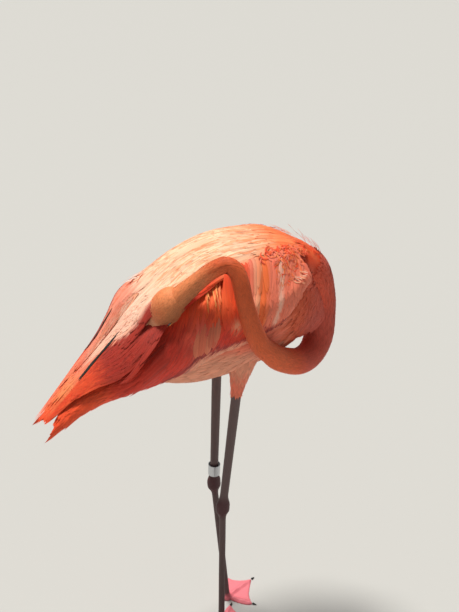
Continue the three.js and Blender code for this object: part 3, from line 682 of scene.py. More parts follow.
def melted(parts, voxel, smooth):
    """Parts joined into one closed surface by a voxel remesh, then smoothed; points in millimetres."""
    piece = mesh_from("melt", *joined(parts))
    remesh = piece.modifiers.new("remesh", "REMESH")
    remesh.mode, remesh.voxel_size = "VOXEL", voxel * MM
    relax = piece.modifiers.new("relax", "SMOOTH")
    relax.factor, relax.iterations = 0.5, smooth
    bpy.context.view_layer.update()
    mesh = piece.evaluated_get(bpy.context.evaluated_depsgraph_get()).to_mesh()
    points = np.empty(len(mesh.vertices) * 3, np.float32)
    mesh.vertices.foreach_get("co", points)
    normals = np.empty_like(points)
    mesh.vertices.foreach_get("normal", normals)
    mesh.calc_loop_triangles()
    faces = np.empty(len(mesh.loop_triangles) * 3, np.int32)
    mesh.loop_triangles.foreach_get("vertices", faces)
    bpy.data.objects.remove(piece)
    points = points.reshape(-1, 3) / MM - STANDING_PLACE
    return points, faces.reshape(-1, 3), normals.reshape(-1, 3)


body_parts = [
    surface_loft(trunk_at, 0.15, 8.8, 60, 48, COAT_DEPTH["trunk"]),
    surface_loft(tail_at, 0, 2.4, 20, 24, COAT_DEPTH["tail"]),
    surface_loft(neck_at, 0, NECK_END, 220, 32, COAT_DEPTH["neck"]),
    surface_loft(head_at, 0.1, 7, 40, 32, COAT_DEPTH["head"]),
]
for side, sign in SIDES.items():
    body_parts.append(surface_loft(thigh_at(side), 0.08, 1.1, 24, 24, COAT_DEPTH["thigh"]))
    body_parts.append(panel_loft(WING[side], sign, 9.6, 80, 24, COAT_DEPTH["panel"]))
    body_parts.append(panel_loft(BACK[side], sign, 8.6, 80, 20, COAT_DEPTH["panel"]))
body_points, body_faces, _ = melted(body_parts, BODY_VOXEL, 3)
print("skin under the feathers:", len(body_faces), "triangles")

# %% [markdown]
# ## Bare legs and the skin's colours
#
# The bare legs are remeshed finely, because they are seen as they are, and run up inside
# the thighs. Scales are pressed into them afterwards, since a remesh would melt them. All
# of it becomes one piece, tinted with the markings that the feathers will also carry.

# %% Bare legs and the skin's colours
LEG_VOXEL = 1.55
SCALE_LENGTH, SCALE_DEPTH = 6.4, 0.38
FLESH = [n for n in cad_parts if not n.startswith(("bill", "eye", "claw", "leg_ring"))]

leg_sets = []
for side in SIDES:
    points, faces, normals = melted([leg_loft(side), foot_loft(side), hallux_loft(side)], LEG_VOXEL, 2)
    around = points - leg_line(side)(points[:, 2])
    on_leg = ramp(points[:, 2], 16, 26)
    front = ramp(around[:, 0] / np.maximum(np.linalg.norm(around, axis=1), 1), -0.3, 0.5)
    scute = np.abs(np.sin(np.pi * points[:, 2] / SCALE_LENGTH)) ** 0.5
    points = points + normals * (SCALE_DEPTH * (scute - 0.8) * front * on_leg)[:, None]
    points[:, 2] = np.maximum(points[:, 2], 0)
    leg_sets.append((points, faces))


def skin_colour(points):
    """The markings under the coat: the neck's near its line, the head's round its centre, and so on."""
    line = neck_line(np.linspace(1.5, NECK_END, 90))
    gap = np.sqrt(((points[:, None] - line[None]) ** 2).sum(-1)).min(1)
    colour = marking("trunk", points)
    colour = mix(colour, marking("wing", points), ramp(np.abs(points[:, 1]) - 40, 0, 30)[:, None])
    colour = mix(colour, marking("back", points), ramp(points[:, 2], 790, 830)[:, None])
    colour = mix(colour, marking("wing", points), ramp(-points[:, 0], 170, 230)[:, None])
    colour = mix(colour, marking("neck", points), ramp(34 - gap, 0, 8)[:, None])
    head_gap = np.linalg.norm(points - HEAD_CENTRE, axis=1)
    return mix(colour, marking("head", points), ramp(44 - head_gap, 0, 8)[:, None])


def leg_colour(side, points):
    """Shins in painted shade, their greyish pink darkened to grey-mauve, a dark maroon ankle and pink webs.
    """
    z, ankle = points[:, 2], LEG[side]["ankle"][2]
    knee = np.exp(-(((z - ankle) / 24) ** 4))[:, None]
    # Painted shade: the shins' greyish pink is darkened as it looks in the body's shade.
    colour = mix(linear("shin_in_shade"), linear("knee"), knee)
    return mix(colour, linear("web"), ramp(20 - z, 0, 12)[:, None])


all_points, all_faces = joined([(body_points, body_faces)] + leg_sets)
leg_tints = [leg_colour(side, points) for side, (points, _) in zip(SIDES, leg_sets)]
skin_tint = np.concatenate([skin_colour(body_points)] + leg_tints)
skin = mesh_from("skin", all_points, all_faces, skin_tint)
print("skin:", len(all_faces), "triangles,", len(body_faces), "of them under feathers")

# %% [markdown]
# ## How feathers lie
#
# A feather is rooted in the skin and runs down the body's flow, bending with the surface
# under it. `lay_along` walks each feather over its surface step by step: at each step it
# finds the two directions of the surface, turns by the feather's own aim, and moves on.
# All feathers of a set are walked together, so only the few steps are a loop.

# %% The feather walk
WIDEST_STEP = 0.08   # share of a part's width that a feather may cross in one step
LONGEST_STEP = 0.6   # rows of a part's table that it may pass in one step
STATIONS = 300   # points along a surface at which its length is measured


def room_behind(surface, t, end):
    """The length of surface left between each root and the part's end, along its middle."""
    stations = np.linspace(0, end, STATIONS)
    runs = np.linalg.norm(np.diff(surface(stations, np.full(STATIONS, 0.5)), axis=0), axis=1)
    walked = np.concatenate([[0], np.cumsum(runs)])
    return walked[-1] - np.interp(t, stations, walked)


def tangents(surface, t, u):
    """The surface's directions along t and u, by small differences."""
    along = (surface(t + NUDGE, u) - surface(t - NUDGE, u)) / (2 * NUDGE)
    across = (surface(t, u + NUDGE) - surface(t, u - NUDGE)) / (2 * NUDGE)
    return along, across


def dot(a, b):
    """The dot product of two arrays of vectors, keeping the last axis."""
    return (a * b).sum(-1, keepdims=True)


def lay_along(surface, inner, t, u, aim, length, steps, bend=0.0):
    """Walks each feather over the surface; returns its middle line, outward normal and direction."""
    t, u = np.array(t, float), np.array(u, float)
    lines, normals, headings = [], [], []
    stride = np.asarray(length) / (steps - 1)
    for k in range(steps):
        p = surface(t, u)
        along, across = tangents(surface, t, u)
        normal = unit(np.cross(along, across))
        normal = normal * np.sign(dot(normal, p - inner(t, p)))
        ahead = unit(along)
        aside = np.cross(normal, ahead)
        aside = aside * np.sign(dot(aside, across))
        turned = (aim + bend * k / steps)[..., None]
        heading = np.cos(turned) * ahead + np.sin(turned) * aside
        lines.append(p)
        normals.append(normal)
        headings.append(heading)
        aa, ab, bb = dot(along, along), dot(along, across), dot(across, across)
        da, db = dot(heading, along), dot(heading, across)
        det = np.maximum(aa * bb - ab * ab, 1e-9)
        t = t + np.clip(((bb * da - ab * db) / det)[..., 0] * stride, -LONGEST_STEP, LONGEST_STEP)
        u = u + np.clip(((aa * db - ab * da) / det)[..., 0] * stride, -WIDEST_STEP, WIDEST_STEP)
    return tuple(np.stack(v, 1) for v in (lines, normals, headings))


half_way = tangents(neck_at, np.array(9.0), np.array(0.25))
print("directions of the neck's surface half way:", [v.round(1) for v in half_way])

# %% [markdown]
# ## Where feathers are rooted
#
# Roots stand in rows, every other row moved by half a gap, as tiles are, and each root is
# shaken a little, because a bird has no ruler. The gap is in millimetres, so a part that
# is wider gets more feathers and not broader ones.

# %% Roots and outlines
def outline(s, tip):
    """A vane's half width from root to tip: it widens over the first third, then rounds off."""
    opening = 0.35 + 0.65 * ramp(s, 0, 0.35)
    closing = np.sqrt(np.clip(1 - np.clip((s - tip) / (1 - tip), 0, 1) ** 2, 0, 1))
    return opening * closing


def scatter(surface, t_range, u_range, gap_along, gap_across, rng):
    """Roots in rows over a surface, each row shifted by half a gap, then shaken a little."""
    t = np.linspace(*t_range, STATIONS)
    middle = np.full(STATIONS, sum(u_range) / 2)
    runs = np.linalg.norm(np.diff(surface(t, middle), axis=0), axis=1)
    walked = np.concatenate([[0], np.cumsum(runs)])
    rows = np.interp(np.arange(0, walked[-1], gap_along), walked, t)
    tt, uu = np.meshgrid(rows, np.linspace(*u_range, 25), indexing="ij")
    wide = np.linalg.norm(np.diff(surface(tt, uu), axis=1), axis=-1).sum(1)
    number = np.maximum((wide / gap_across).astype(int), 1)
    row = np.repeat(np.arange(len(rows)), number)
    place = np.arange(len(row)) - np.repeat(np.cumsum(number) - number, number)
    share = (place + 0.5 * (row % 2) + rng.uniform(0.1, 0.6, len(row))) / number[row]
    step = (t_range[1] - t_range[0]) * gap_along / walked[-1]
    shaken = rows[row] + rng.uniform(-0.35, 0.35, len(row)) * step
    return shaken, u_range[0] + share % 1 * (u_range[1] - u_range[0])


roots = scatter(neck_at, (0, NECK_END), (0, 1), 4.0, 4.0, np.random.default_rng(0))[0]
print("feathers 4 mm apart over the whole neck:", len(roots))

# %% [markdown]
# ## A coat of vanes
#
# A vane is a thin curved blade: a little grid of points either side of its shaft, lower
# at the root, where the next feather covers it, and lifted at the tip. Every set of
# feathers is added to a coat, and each coat becomes one mesh. Besides its colour, each
# point gets two maps: its place on its own vane, for the barbs, and its root's place on
# an unwrap of the body, for baking. The first map also moves each vane a whole number of
# its own widths aside, so that no two vanes are streaked alike.

# %% Coats
PATCH = 0.003   # width of a feather's patch on the unwrap
DEEPER = np.array([0.96, 0.55, 0.34])   # how a strongly pigmented feather differs from its neighbours
ROOT_TO_TIP = (0.93, 1.07)   # brightness at a feather's two ends
CAMBER = 0.25   # how far a vane's edges drop, as a share of its half width
CHARTS = {   # left, bottom, width and height of each part's place on the unwrap
    "neck": (0.01, 0.01, 0.30, 0.97), "head": (0.33, 0.79, 0.20, 0.19),
    "trunk": (0.33, 0.41, 0.30, 0.36), "tail": (0.55, 0.79, 0.10, 0.19),
    "thigh_right": (0.67, 0.79, 0.14, 0.19), "thigh_left": (0.83, 0.79, 0.14, 0.19),
    "wing_right": (0.33, 0.01, 0.15, 0.38), "wing_left": (0.49, 0.01, 0.15, 0.38),
    "back_right": (0.66, 0.01, 0.15, 0.76), "back_left": (0.83, 0.01, 0.15, 0.76),
    "cape_right": (0.36, 0.02, 0.11, 0.15), "cape_left": (0.52, 0.02, 0.11, 0.15),
}


class Coat:
    """Feathers gathered into one piece."""

    def __init__(self, name):
        self.name = name
        self.sets = []
        self.rng = np.random.default_rng(len(name) * 101)

    def on(self, chart, surface, inner, last):
        """Chooses the surface of the next sets; `last` is the row at the end of its chart."""
        self.chart, self.surface, self.inner, self.last = CHARTS[chart], surface, inner, last
        return self

    def add(self, t, u, aim, length, width, paint, vary=0.08, fleck=None, shift=14.0, rise=(-2.0, 0.5),
            tip=0.6, steps=6, across=5, bend=0.0, edge=0.0):
        """Lays feathers and turns them into vanes; all sizes in millimetres.

        `paint` is a colour for each feather, or a part's name, whose marking is read along the
        feather, each a little before or behind its place by up to `shift`. `fleck` is the share
        of feathers that are more deeply coloured, and how strongly.
        """
        line, normal, heading = lay_along(self.surface, self.inner, t, u, aim, length, steps, bend)
        count = len(line)
        s = np.linspace(0, 1, steps)[None, :, None]
        x = np.linspace(-1, 1, across)[None, None, :]
        side = np.cross(normal, heading)
        half = (np.asarray(width) / 2)[:, None, None] * outline(s, tip)
        lift = rise[0] + (rise[1] - rise[0]) * s**0.75 - CAMBER * half * x**2
        points = line[:, :, None] + side[:, :, None] * (half * x)[..., None]
        points = points + normal[:, :, None] * lift[..., None]
        moved = line + heading * self.rng.uniform(-shift, shift, (count, 1, 1))
        colour = marking(paint, moved) if isinstance(paint, str) else paint[:, None] + 0 * line
        if fleck:
            takes = (self.rng.random((count, 1, 1)) < fleck[0]) * fleck[1]
            colour = colour * mix(np.ones(3), DEEPER, takes)
        colour = colour * self.rng.normal(1, vary, (count, 1, 1)) * mix(*ROOT_TO_TIP, s)
        pale = 1 + edge * np.abs(x[..., None]) ** 3
        shade = np.clip(colour[:, :, None] * pale, 0, 1)
        own = self.rng.integers(0, 400, count)[:, None, None]
        flat = np.stack(np.broadcast_arrays((x + 1) / 2 + 0 * s, s + 0 * x), -1)
        vane = np.stack(np.broadcast_arrays((x + 1) / 2 * 0.98 + 0.01 + own, s + 0 * x), -1)
        left, bottom, wide, tall = self.chart
        up_the_chart = bottom + tall * np.clip(t / self.last, 0, 1)
        root = np.stack([left + wide * (np.asarray(u) % 1.0), up_the_chart], -1)
        bake = root[:, None, None] + PATCH * (flat - 0.5)
        faces = grid_faces(steps, across)[None] + (np.arange(count) * steps * across)[:, None, None]
        self.sets.append({
            "points": points.reshape(-1, 3), "tint": shade.reshape(-1, 3), "faces": faces.reshape(-1, 4),
            "vane": vane.reshape(-1, 2), "bake": bake.reshape(-1, 2)})

    def finish(self):
        """The coat as a mesh object."""
        points, faces = joined([(part["points"], part["faces"]) for part in self.sets])
        tint, bake, vane = (
            np.concatenate([part[key] for part in self.sets]) for key in ("tint", "bake", "vane"))
        piece = mesh_from(self.name, points, faces, tint, {"OFBake": bake, "vane": vane})
        print(f"{self.name}: {2 * len(faces)} triangles")
        return piece


def picked(rng, count, *names):
    """A palette colour for each feather, drawn from a few names."""
    return np.array([linear(name) for name in names])[rng.choice(len(names), count)]


coats = {}
print("charts on the unwrap:", len(CHARTS))

# %% [markdown]
# ## Neck
#
# The neck's feathers are tiny and dense, like velvet, and point back to the body, which
# is why their aim is half a turn from the way the neck is drawn. They get smaller
# towards the head. A few loose wisps stand off where the neck leaves the shoulders.

# %% Neck coat
BACKWARDS = np.pi
NECK_SETS = (   # rows from and to, gap between feathers, length
    ((0.9, 4.5), 4.2, 15.0), ((4.5, 9.5), 3.4, 10.5), ((9.5, 17.9), 2.3, 7.5))
NECK_WISPS = 12

rng = np.random.default_rng(11)
coat = Coat("coat_neck").on("neck", neck_at, inside_of("neck"), NECK_END)
for t_range, gap, length in NECK_SETS:
    t, u = scatter(neck_at, t_range, (0, 1), gap, gap * 0.85, rng)
    size = length * rng.uniform(0.85, 1.15, len(t))
    coat.add(t, u, BACKWARDS + rng.normal(0, 0.12, len(t)), size, size * 0.36, "neck", vary=0.05,
             shift=8, rise=(-1.5, 0.0), tip=0.3, steps=3, across=3)
t, u = rng.uniform(0.45, 0.95, NECK_WISPS), rng.uniform(0.2, 0.32, NECK_WISPS)
coat.add(t, u, BACKWARDS + rng.normal(0, 0.12, NECK_WISPS), rng.uniform(24, 36, NECK_WISPS),
         rng.uniform(1.8, 2.8, NECK_WISPS), picked(rng, NECK_WISPS, "ember", "apricot"),
         rise=(-1.0, 9.0), tip=0.1, steps=7, across=3)
coats["neck"] = coat.finish()

# %% [markdown]
# ## Head
#
# The smallest feathers of all cover the face. They leave the eye and the base of the bill
# bare, so roots that fall too near either are dropped.

# %% Head coat
EYE_PLACE = np.array([13.0, 19.5, 3.0])
EYE_RADIUS = 5.6
BARE_ROUND_EYE = 2.6
FEATHERS_END = 27   # how far towards the bill feathers grow, in the head's frame

coat = Coat("coat_head").on("head", head_at, inside_of("head"), 7)
t, u = scatter(head_at, (0.15, 6.4), (0, 1), 1.9, 1.7, rng)
local = (head_at(t, u) - HEAD_CENTRE) @ HEAD_AXES.T
either_side = np.abs(local * [0, 1, 0]) + local * [1, 0, 1]
to_eye = np.linalg.norm(either_side - EYE_PLACE, axis=1)
feathered = (to_eye > EYE_RADIUS + BARE_ROUND_EYE) & (local[:, 0] < FEATHERS_END)
t, u = t[feathered], u[feathered]
size = mix(6.5, 3.2, ramp(t, 2, 6)) * rng.uniform(0.85, 1.15, len(t))
coat.add(t, u, BACKWARDS + rng.normal(0, 0.16, len(t)), size, size * 0.40, "head", vary=0.06, shift=3,
         rise=(-1.2, 0.1), tip=0.3, steps=3, across=3)
coats["head"] = coat.finish()

# %% [markdown]
# ## Breast, belly, thighs and tail
#
# Contour feathers here are soft and overlap by two thirds. None are laid where the folded
# wings cover the trunk. The neck leaves the breast at a sharp angle, and feathers bridge
# that corner on a real bird, so a small surface is stretched from the neck's side to the
# trunk's and feathered like the rest.

# %% The breast's bridge
BREAST_MIDDLE = np.array([110.0, 0.0, 740.0])
BRIDGE_SWELL = 4.5   # how far the bridge bows out half way, in millimetres


def breast_at(sign):
    """The fill between neck and breast: from the neck (t = 0) to the trunk (t = 1), u downwards."""
    def surface(t, u):
        t, u = np.asarray(t, float), np.asarray(u, float)
        from_neck = neck_at(mix(0.5, 2.9, u), np.full(u.shape, 0.0 if sign > 0 else 0.5))
        turn = mix(0.07, -0.13, u)
        to_trunk = trunk_at(mix(2.9, 2.2, u), turn if sign > 0 else 0.5 - turn)
        share = t[..., None]
        out = unit(from_neck + to_trunk - 2 * BREAST_MIDDLE)
        return mix(from_neck, to_trunk, share) + out * 4 * share * (1 - share) * BRIDGE_SWELL
    return surface


print("the bridge is", breast_at(1)(np.array(0.5), np.array(0.5)).round(), "half way on the left")

# %% [markdown]
# ## The body's coat
#
# One coat gathers trunk, bridge, thighs and tail, since they share a kind of feather. On
# the thighs the feathers end in a soft cuff over the bare leg, so they get shorter
# towards it.

# %% Body coat
UNDER_WINGS = 745   # height above which the folded wings cover the trunk
FRONT_OF_WINGS = 95   # and the place in front of which they don't
THIGH_LENGTH = 94   # millimetres from the lowest feathers to the hip, about

rng = np.random.default_rng(23)
coat = Coat("coat_body").on("trunk", trunk_at, inside_of("trunk"), 9)
t, u = scatter(trunk_at, (0.2, 8.7), (0, 1), 9.0, 8.0, rng)
p = trunk_at(t, u)
open_air = (p[:, 2] < UNDER_WINGS) | (p[:, 0] > FRONT_OF_WINGS)
t, u = t[open_air], u[open_air]
size = mix(30, 60, ramp(t, 1, 5)) * rng.uniform(0.85, 1.15, len(t))
coat.add(t, u, rng.normal(0, 0.10, len(t)), size, size * 0.27, "trunk", rise=(-4.5, -1.0), tip=0.3)
for sign in SIDES.values():
    coat.on("trunk", breast_at(sign), lambda t, p: BREAST_MIDDLE + 0 * p, 2)
    t, u = scatter(breast_at(sign), (0.0, 0.9), (0.0, 1.0), 5.0, 5.0, rng)
    coat.add(t, u, rng.normal(0.35, 0.12, len(t)), rng.uniform(22, 30, len(t)), rng.uniform(6, 9, len(t)),
             "trunk", vary=0.06, rise=(-2.0, 0.2), tip=0.3, across=3)
for side in SIDES:
    coat.on("thigh_" + side, thigh_at(side), lambda t, p, line=thigh_line(side): line(t), 1.2)
    t, u = scatter(thigh_at(side), (0.15, 1.15), (0, 1), 6.0, 5.0, rng)
    size = np.minimum(30.0, (t + 0.10) * THIGH_LENGTH) * rng.uniform(0.9, 1.1, len(t))
    coat.add(t, u, BACKWARDS + rng.normal(0, 0.12, len(t)), size, 7.0 + 0 * size, "thigh",
             rise=(-3.5, 0.2), tip=0.3, steps=5, across=3)
coat.on("tail", tail_at, inside_of("tail"), 3)
t, u = scatter(tail_at, (0.0, 2.2), (0, 1), 14.0, 9.0, rng)
coat.add(t, u, rng.normal(0, 0.05, len(t)), 44 * rng.uniform(0.9, 1.1, len(t)), 15.0 + 0 * t, "wing",
         rise=(-2.0, 0.3), tip=0.55, steps=5)
coats["body"] = coat.finish()

# %% [markdown]
# ## How wing feathers hang
#
# At the shoulder the coverts hang almost straight down, and further back they swing round
# to lie along the wing. No feather may hang past the lower edge, so the room below each
# root is measured first, by walking straight across the panel.

# %% Hang and room
HANG = np.array([[0.3, 1.45], [2.0, 1.35], [4.5, 1.05], [6.5, 0.38], [8.5, 0.05]])   # row, aim in radians
WING_LAST = 11


def read_off(table, t):
    """The second column of a table at rows t, straight between its entries."""
    return np.interp(t, table[:, 0], table[:, 1])


def hang_of(t, u):
    """How steeply a covert hangs: steep at the shoulder, along the wing behind and by its lower edge."""
    return read_off(HANG, t) * np.clip(1.15 - u, 0.03, 1) ** 0.6


def room_below(surface, t, u):
    """The width of surface left between each root and the lower edge."""
    steps = np.linspace(0, 1, 12)
    path = np.stack([surface(t, u + (1 - u) * k) for k in steps])
    return np.linalg.norm(np.diff(path, axis=0), axis=-1).sum(0)


print("aim at the shoulder and the point:", hang_of(np.array([0.3, 8.5]), 0.2).round(2))

# %% [markdown]
# ## Coverts in rows
#
# A folded wing shows rows of coverts, shorter at the shoulder and longer behind, over the
# long flight feathers whose ends make the lower point. Three overlapping bands of rows
# cover it, each with longer feathers than the one before.

# %% Wing rows
WING_ROWS = (   # rows from and to, gap along, gap across, length, width, tip lift
    ((0.3, 4.8), 7.5, 7.0, 62, 11, 0.3),
    ((4.0, 7.8), 8.5, 7.0, 96, 12, 0.2),
    ((6.8, 9.4), 11.0, 6.0, 120, 12, -0.3),
)


def wing_rows(coat, surface, rng):
    """Coverts over the whole wing, the long ends behind, and fuller feathers over their roots."""
    for t_range, gap_along, gap_across, length, width, top in WING_ROWS:
        t, u = scatter(surface, t_range, (0.02, 0.98), gap_along, gap_across, rng)
        hang = hang_of(t, u)
        room = room_below(surface, t, u) / np.maximum(np.sin(hang), 0.05) + 6
        size = np.minimum(length * rng.uniform(0.85, 1.12, len(t)), room_behind(surface, t, 10.6))
        size = np.maximum(np.minimum(size, room), 14)
        coat.add(t, u, hang + rng.normal(0, 0.06, len(t)), size, width * rng.uniform(0.75, 1.15, len(t)),
                 "wing", vary=0.10, fleck=(0.15, 0.5), shift=10, rise=(-2.4, top), tip=0.3, steps=9,
                 edge=0.12)
    # Long ends of the flight feathers, which make the lower point.
    t = np.repeat(np.linspace(6.6, 8.4, 6), 7)
    u = np.tile(np.linspace(0.05, 0.95, 7), 6)
    size = room_behind(surface, t, 10.7) * rng.uniform(0.86, 1, len(t))
    coat.add(t, u, rng.normal(0, 0.012, len(t)), size, np.full(len(t), 13.0), "wing", rise=(-1.0, 1.0),
             tip=0.5, steps=14)
    # Fuller feathers where the wing comes out from under the back plumes.
    t, u = scatter(surface, (6.6, 9.6), (0.02, 0.75), 9.0, 7.0, rng)
    size = np.minimum(rng.uniform(60, 96, len(t)), room_behind(surface, t, 10.4))
    coat.add(t, u, rng.normal(0.05, 0.05, len(t)), size, rng.uniform(8, 12, len(t)), "wing", vary=0.09,
             shift=6, rise=(-1.5, 4.5), tip=0.3, steps=9, edge=0.1)


print("bands of wing rows:", len(WING_ROWS))

# %% [markdown]
# ## The cape
#
# Over the shoulder lies a soft cape of coverts. It starts under the ends of the back's
# plumes and hangs over the wing, so it belongs to neither of their surfaces and gets a
# sheet of its own. A Catmull-Rom curve runs through its five points across, because one
# curve of the fourth degree through all five would bulge between them.

# %% The cape's surface
CAPE = np.array([   # from the front: row and share across, twice on the back, then on the wing
    [(0.62, 0.72), (0.66, 1.00), (1.20, 0.43), (1.45, 0.60), (1.54, 0.88)],
    [(1.06, 0.72), (1.12, 1.00), (2.10, 0.42), (2.28, 0.60), (2.29, 0.90)],
    [(1.64, 0.76), (1.75, 1.00), (2.86, 0.45), (2.98, 0.66), (2.90, 0.96)],
    [(2.14, 0.80), (2.22, 1.00), (3.41, 0.42), (3.52, 0.60), (3.50, 0.92)],
    [(2.60, 0.84), (2.68, 1.00), (3.95, 0.42), (4.05, 0.60), (4.00, 0.90)],
    [(3.10, 0.88), (3.18, 1.00), (4.50, 0.42), (4.60, 0.60), (4.50, 0.88)],
])
CAPE_STEPS = 40   # straight steps across the sheet
CAPE_LAST = 5


def cape_at(side, sign):
    """A sheet from the plumes' ends to the wing's lower edge, smooth through its rows both ways."""
    top = panel_at(BACK[side], sign)(*CAPE[:, :2].transpose(2, 0, 1))
    below = panel_at(WING[side], sign)(*CAPE[:, 2:].transpose(2, 0, 1))
    across = np.linspace(0, 4, CAPE_STEPS + 1)
    rows = np.array([through(row, across).ravel() for row in np.concatenate([top, below], 1)])

    def surface(t, u):
        line = through(rows, t).reshape(np.shape(t) + (CAPE_STEPS + 1, 3))
        place = np.asarray(u, float) * CAPE_STEPS
        first = np.clip(np.floor(place), 0, CAPE_STEPS - 1).astype(int)[..., None, None]
        pair = [np.take_along_axis(line, first + k, -2)[..., 0, :] for k in (0, 1)]
        return mix(*pair, (place - first[..., 0, 0])[..., None])
    return surface


cape_depth = room_below(cape_at("right", -1), np.array([1.0]), np.array([0.0]))
print("the cape is", round(float(cape_depth[0])), "mm deep")

# %% [markdown]
# ## Feathers of the cape
#
# The cape's coverts hang straight down the sheet, whatever the angle between its rows and
# its columns, so that angle is measured at each root. Over them lies the ruffle at the
# bend of the wing: short thin feathers that curl up and point every way.

# %% Cape feathers
RUFFLE = 60
PALE_CURLS = 16


def cape_coverts(coat, cape, rng):
    """Long soft coverts down the sheet, in bands of colour, ending at its lower edge."""
    t, u = scatter(cape, (-0.1, 5.0), (-0.02, 0.84), 6.5, 9.0, rng)
    size = np.maximum(np.minimum(rng.uniform(52, 84, len(t)), room_below(cape, t, u) + 2), 12)
    along, down = tangents(cape, t, u / 2 + 0.4)
    hang = np.arccos(dot(unit(along), unit(down)))[:, 0]
    coat.add(t, u, hang + rng.normal(0, 0.05, len(t)), size, rng.uniform(9, 13, len(t)), "wing", vary=0.06,
             shift=3, rise=(-0.6, 2.2), tip=0.35, steps=10, edge=0.2)


def ruffle(coat, rng):
    """Curls of two directions over the cape's top, and pale ones at the bend itself."""
    for bend in (1.4, -1.1):
        t, u = rng.uniform(0.1, 1.7, RUFFLE), rng.uniform(0.05, 0.42, RUFFLE)
        coat.add(t, u, rng.uniform(0.0, 2.2, RUFFLE), rng.uniform(9, 20, RUFFLE),
                 rng.uniform(1.6, 3.0, RUFFLE), picked(rng, RUFFLE, "flame", "ember", "coral", "apricot"),
                 rise=(0.4, 2.4), tip=0.25, steps=8, across=3, bend=bend)
    t, u = rng.uniform(0.1, 0.8, PALE_CURLS), rng.uniform(0.40, 0.56, PALE_CURLS)
    coat.add(t, u, rng.uniform(0.8, 2.2, PALE_CURLS), rng.uniform(10, 16, PALE_CURLS),
             rng.uniform(1.8, 2.6, PALE_CURLS), picked(rng, PALE_CURLS, "blush", "coral", "peach"),
             rise=(1.5, 3.0), tip=0.2, steps=8, across=3, bend=1.6)


print("curls in each ruffle:", 2 * RUFFLE + PALE_CURLS)

# %% [markdown]
# ## Feathers below the neck, and both wings
#
# Where the neck lies against the wing, a few broad coverts have faded, and thin straw
# plumes catch the light beside them. With that, each wing's coat is put together: its own
# rows first, then the cape, and the loose feathers last.

# %% Wing coats
FADED = 7
STRAWS = 20


def under_the_neck(coat, rng):
    """A few broad, faded coverts below the neck, and thin bright plumes beside them."""
    t, u = np.linspace(4.85, 5.65, FADED), 0.46 + rng.uniform(-0.05, 0.03, FADED)
    coat.add(t, u, 1.0 + rng.normal(0, 0.03, FADED), rng.uniform(54, 66, FADED), np.full(FADED, 17.0),
             mix(linear("scarlet"), linear("tan"), rng.uniform(0.4, 0.8, (FADED, 1))), vary=0.05,
             rise=(-1.5, 1.6), tip=0.35, steps=12, across=7)
    t, u = rng.uniform(4.5, 5.1, STRAWS), rng.uniform(0.08, 0.22, STRAWS)
    coat.add(t, u, rng.normal(1.22, 0.06, STRAWS), rng.uniform(34, 54, STRAWS),
             rng.uniform(1.6, 3.0, STRAWS), picked(rng, STRAWS, "straw", "apricot", "ember"), vary=0.05,
             rise=(1.0, 4.5), tip=0.2, steps=10, across=3)


for side, sign in SIDES.items():
    rng = np.random.default_rng(31 + sign)
    wing, cape, inner = panel_at(WING[side], sign), cape_at(side, sign), inside_of("panel", sign)
    coat = Coat("coat_wing_" + side).on("wing_" + side, wing, inner, WING_LAST)
    wing_rows(coat, wing, rng)
    coat.on("cape_" + side, cape, inner, CAPE_LAST)
    cape_coverts(coat, cape, rng)
    ruffle(coat, rng)
    coat.on("wing_" + side, wing, inner, WING_LAST)
    under_the_neck(coat, rng)
    coats["wing_" + side] = coat.finish()

# %% [markdown]
# ## Back plumes
#
# The plumes of the back are the longest and loosest: pale lances that start orange at the
# shoulders and stream back over the wings, ending in the upper point. Over the shoulder
# their roots stop at a line, and the cape shows below it. Short feathers hang in between,
# and others curl up along the plumes' ends, which hides the change from one to the other.

# %% Back rows
BACK_LAST = 10
BACK_ROWS = (   # rows from and to, gap along, gap across, length
    ((0.1, 4.4), 7.0, 5.5, 86), ((3.4, 7.0), 7.5, 5.5, 112), ((6.0, 8.6), 8.0, 5.0, 130))
PLUME_WIDTH = 9
PLUME_AIM = np.array([[0, 0.02], [2, 0.06], [4, 0.16], [8, 0.02]])   # row, aim at the lower edge
PLUMES_END = np.array([   # row, share across where the plumes' roots stop
    [0.3, 0.78], [0.6, 0.74], [1.06, 0.72], [1.64, 0.78], [2.14, 0.86], [3.2, 1.0]])
CURLS = 60


def back_rows(coat, surface, rng):
    """Plumes over one half of the back, as far across as the cape lets them."""
    for t_range, gap_along, gap_across, length in BACK_ROWS:
        t, u = scatter(surface, t_range, (0.0, 0.98), gap_along, gap_across, rng)
        kept = u < read_off(PLUMES_END, t)
        t, u = t[kept], u[kept]
        aim = read_off(PLUME_AIM, t) * u * np.clip(6 * (0.98 - u), 0, 1)
        size = np.minimum(length * rng.uniform(0.75, 1.15, len(t)), room_behind(surface, t, BACK_LAST))
        coat.add(t, u, aim + rng.normal(0, 0.05, len(t)), size,
                 PLUME_WIDTH * rng.uniform(0.7, 1.25, len(t)), "back", vary=0.09, fleck=(0.34, 0.62),
                 rise=(-2.0, 0.3), tip=0.2, steps=9, across=3, edge=0.15)


def plume_ends(coat, surface, rng):
    """Short hanging feathers between the plumes and the cape, and curls along the line itself."""
    t, u = scatter(surface, (0.1, 2.6), (0.60, 0.90), 5.5, 5.0, rng)
    coat.add(t, u, 1.1 + rng.normal(0, 0.1, len(t)), np.full(len(t), 14.0), rng.uniform(6, 8, len(t)),
             "back", shift=6, rise=(-2.6, -0.8), tip=0.35)
    t = rng.uniform(0.5, 2.1, CURLS)
    u = read_off(PLUMES_END, t) + rng.uniform(-0.12, 0.08, CURLS)
    coat.add(t, u, rng.uniform(-0.5, 2.6, CURLS), rng.uniform(10, 18, CURLS), rng.uniform(2.0, 3.4, CURLS),
             picked(rng, CURLS, "flame", "ember", "coral"), rise=(0.0, 2.5), tip=0.25, steps=8, across=3,
             bend=2.2)


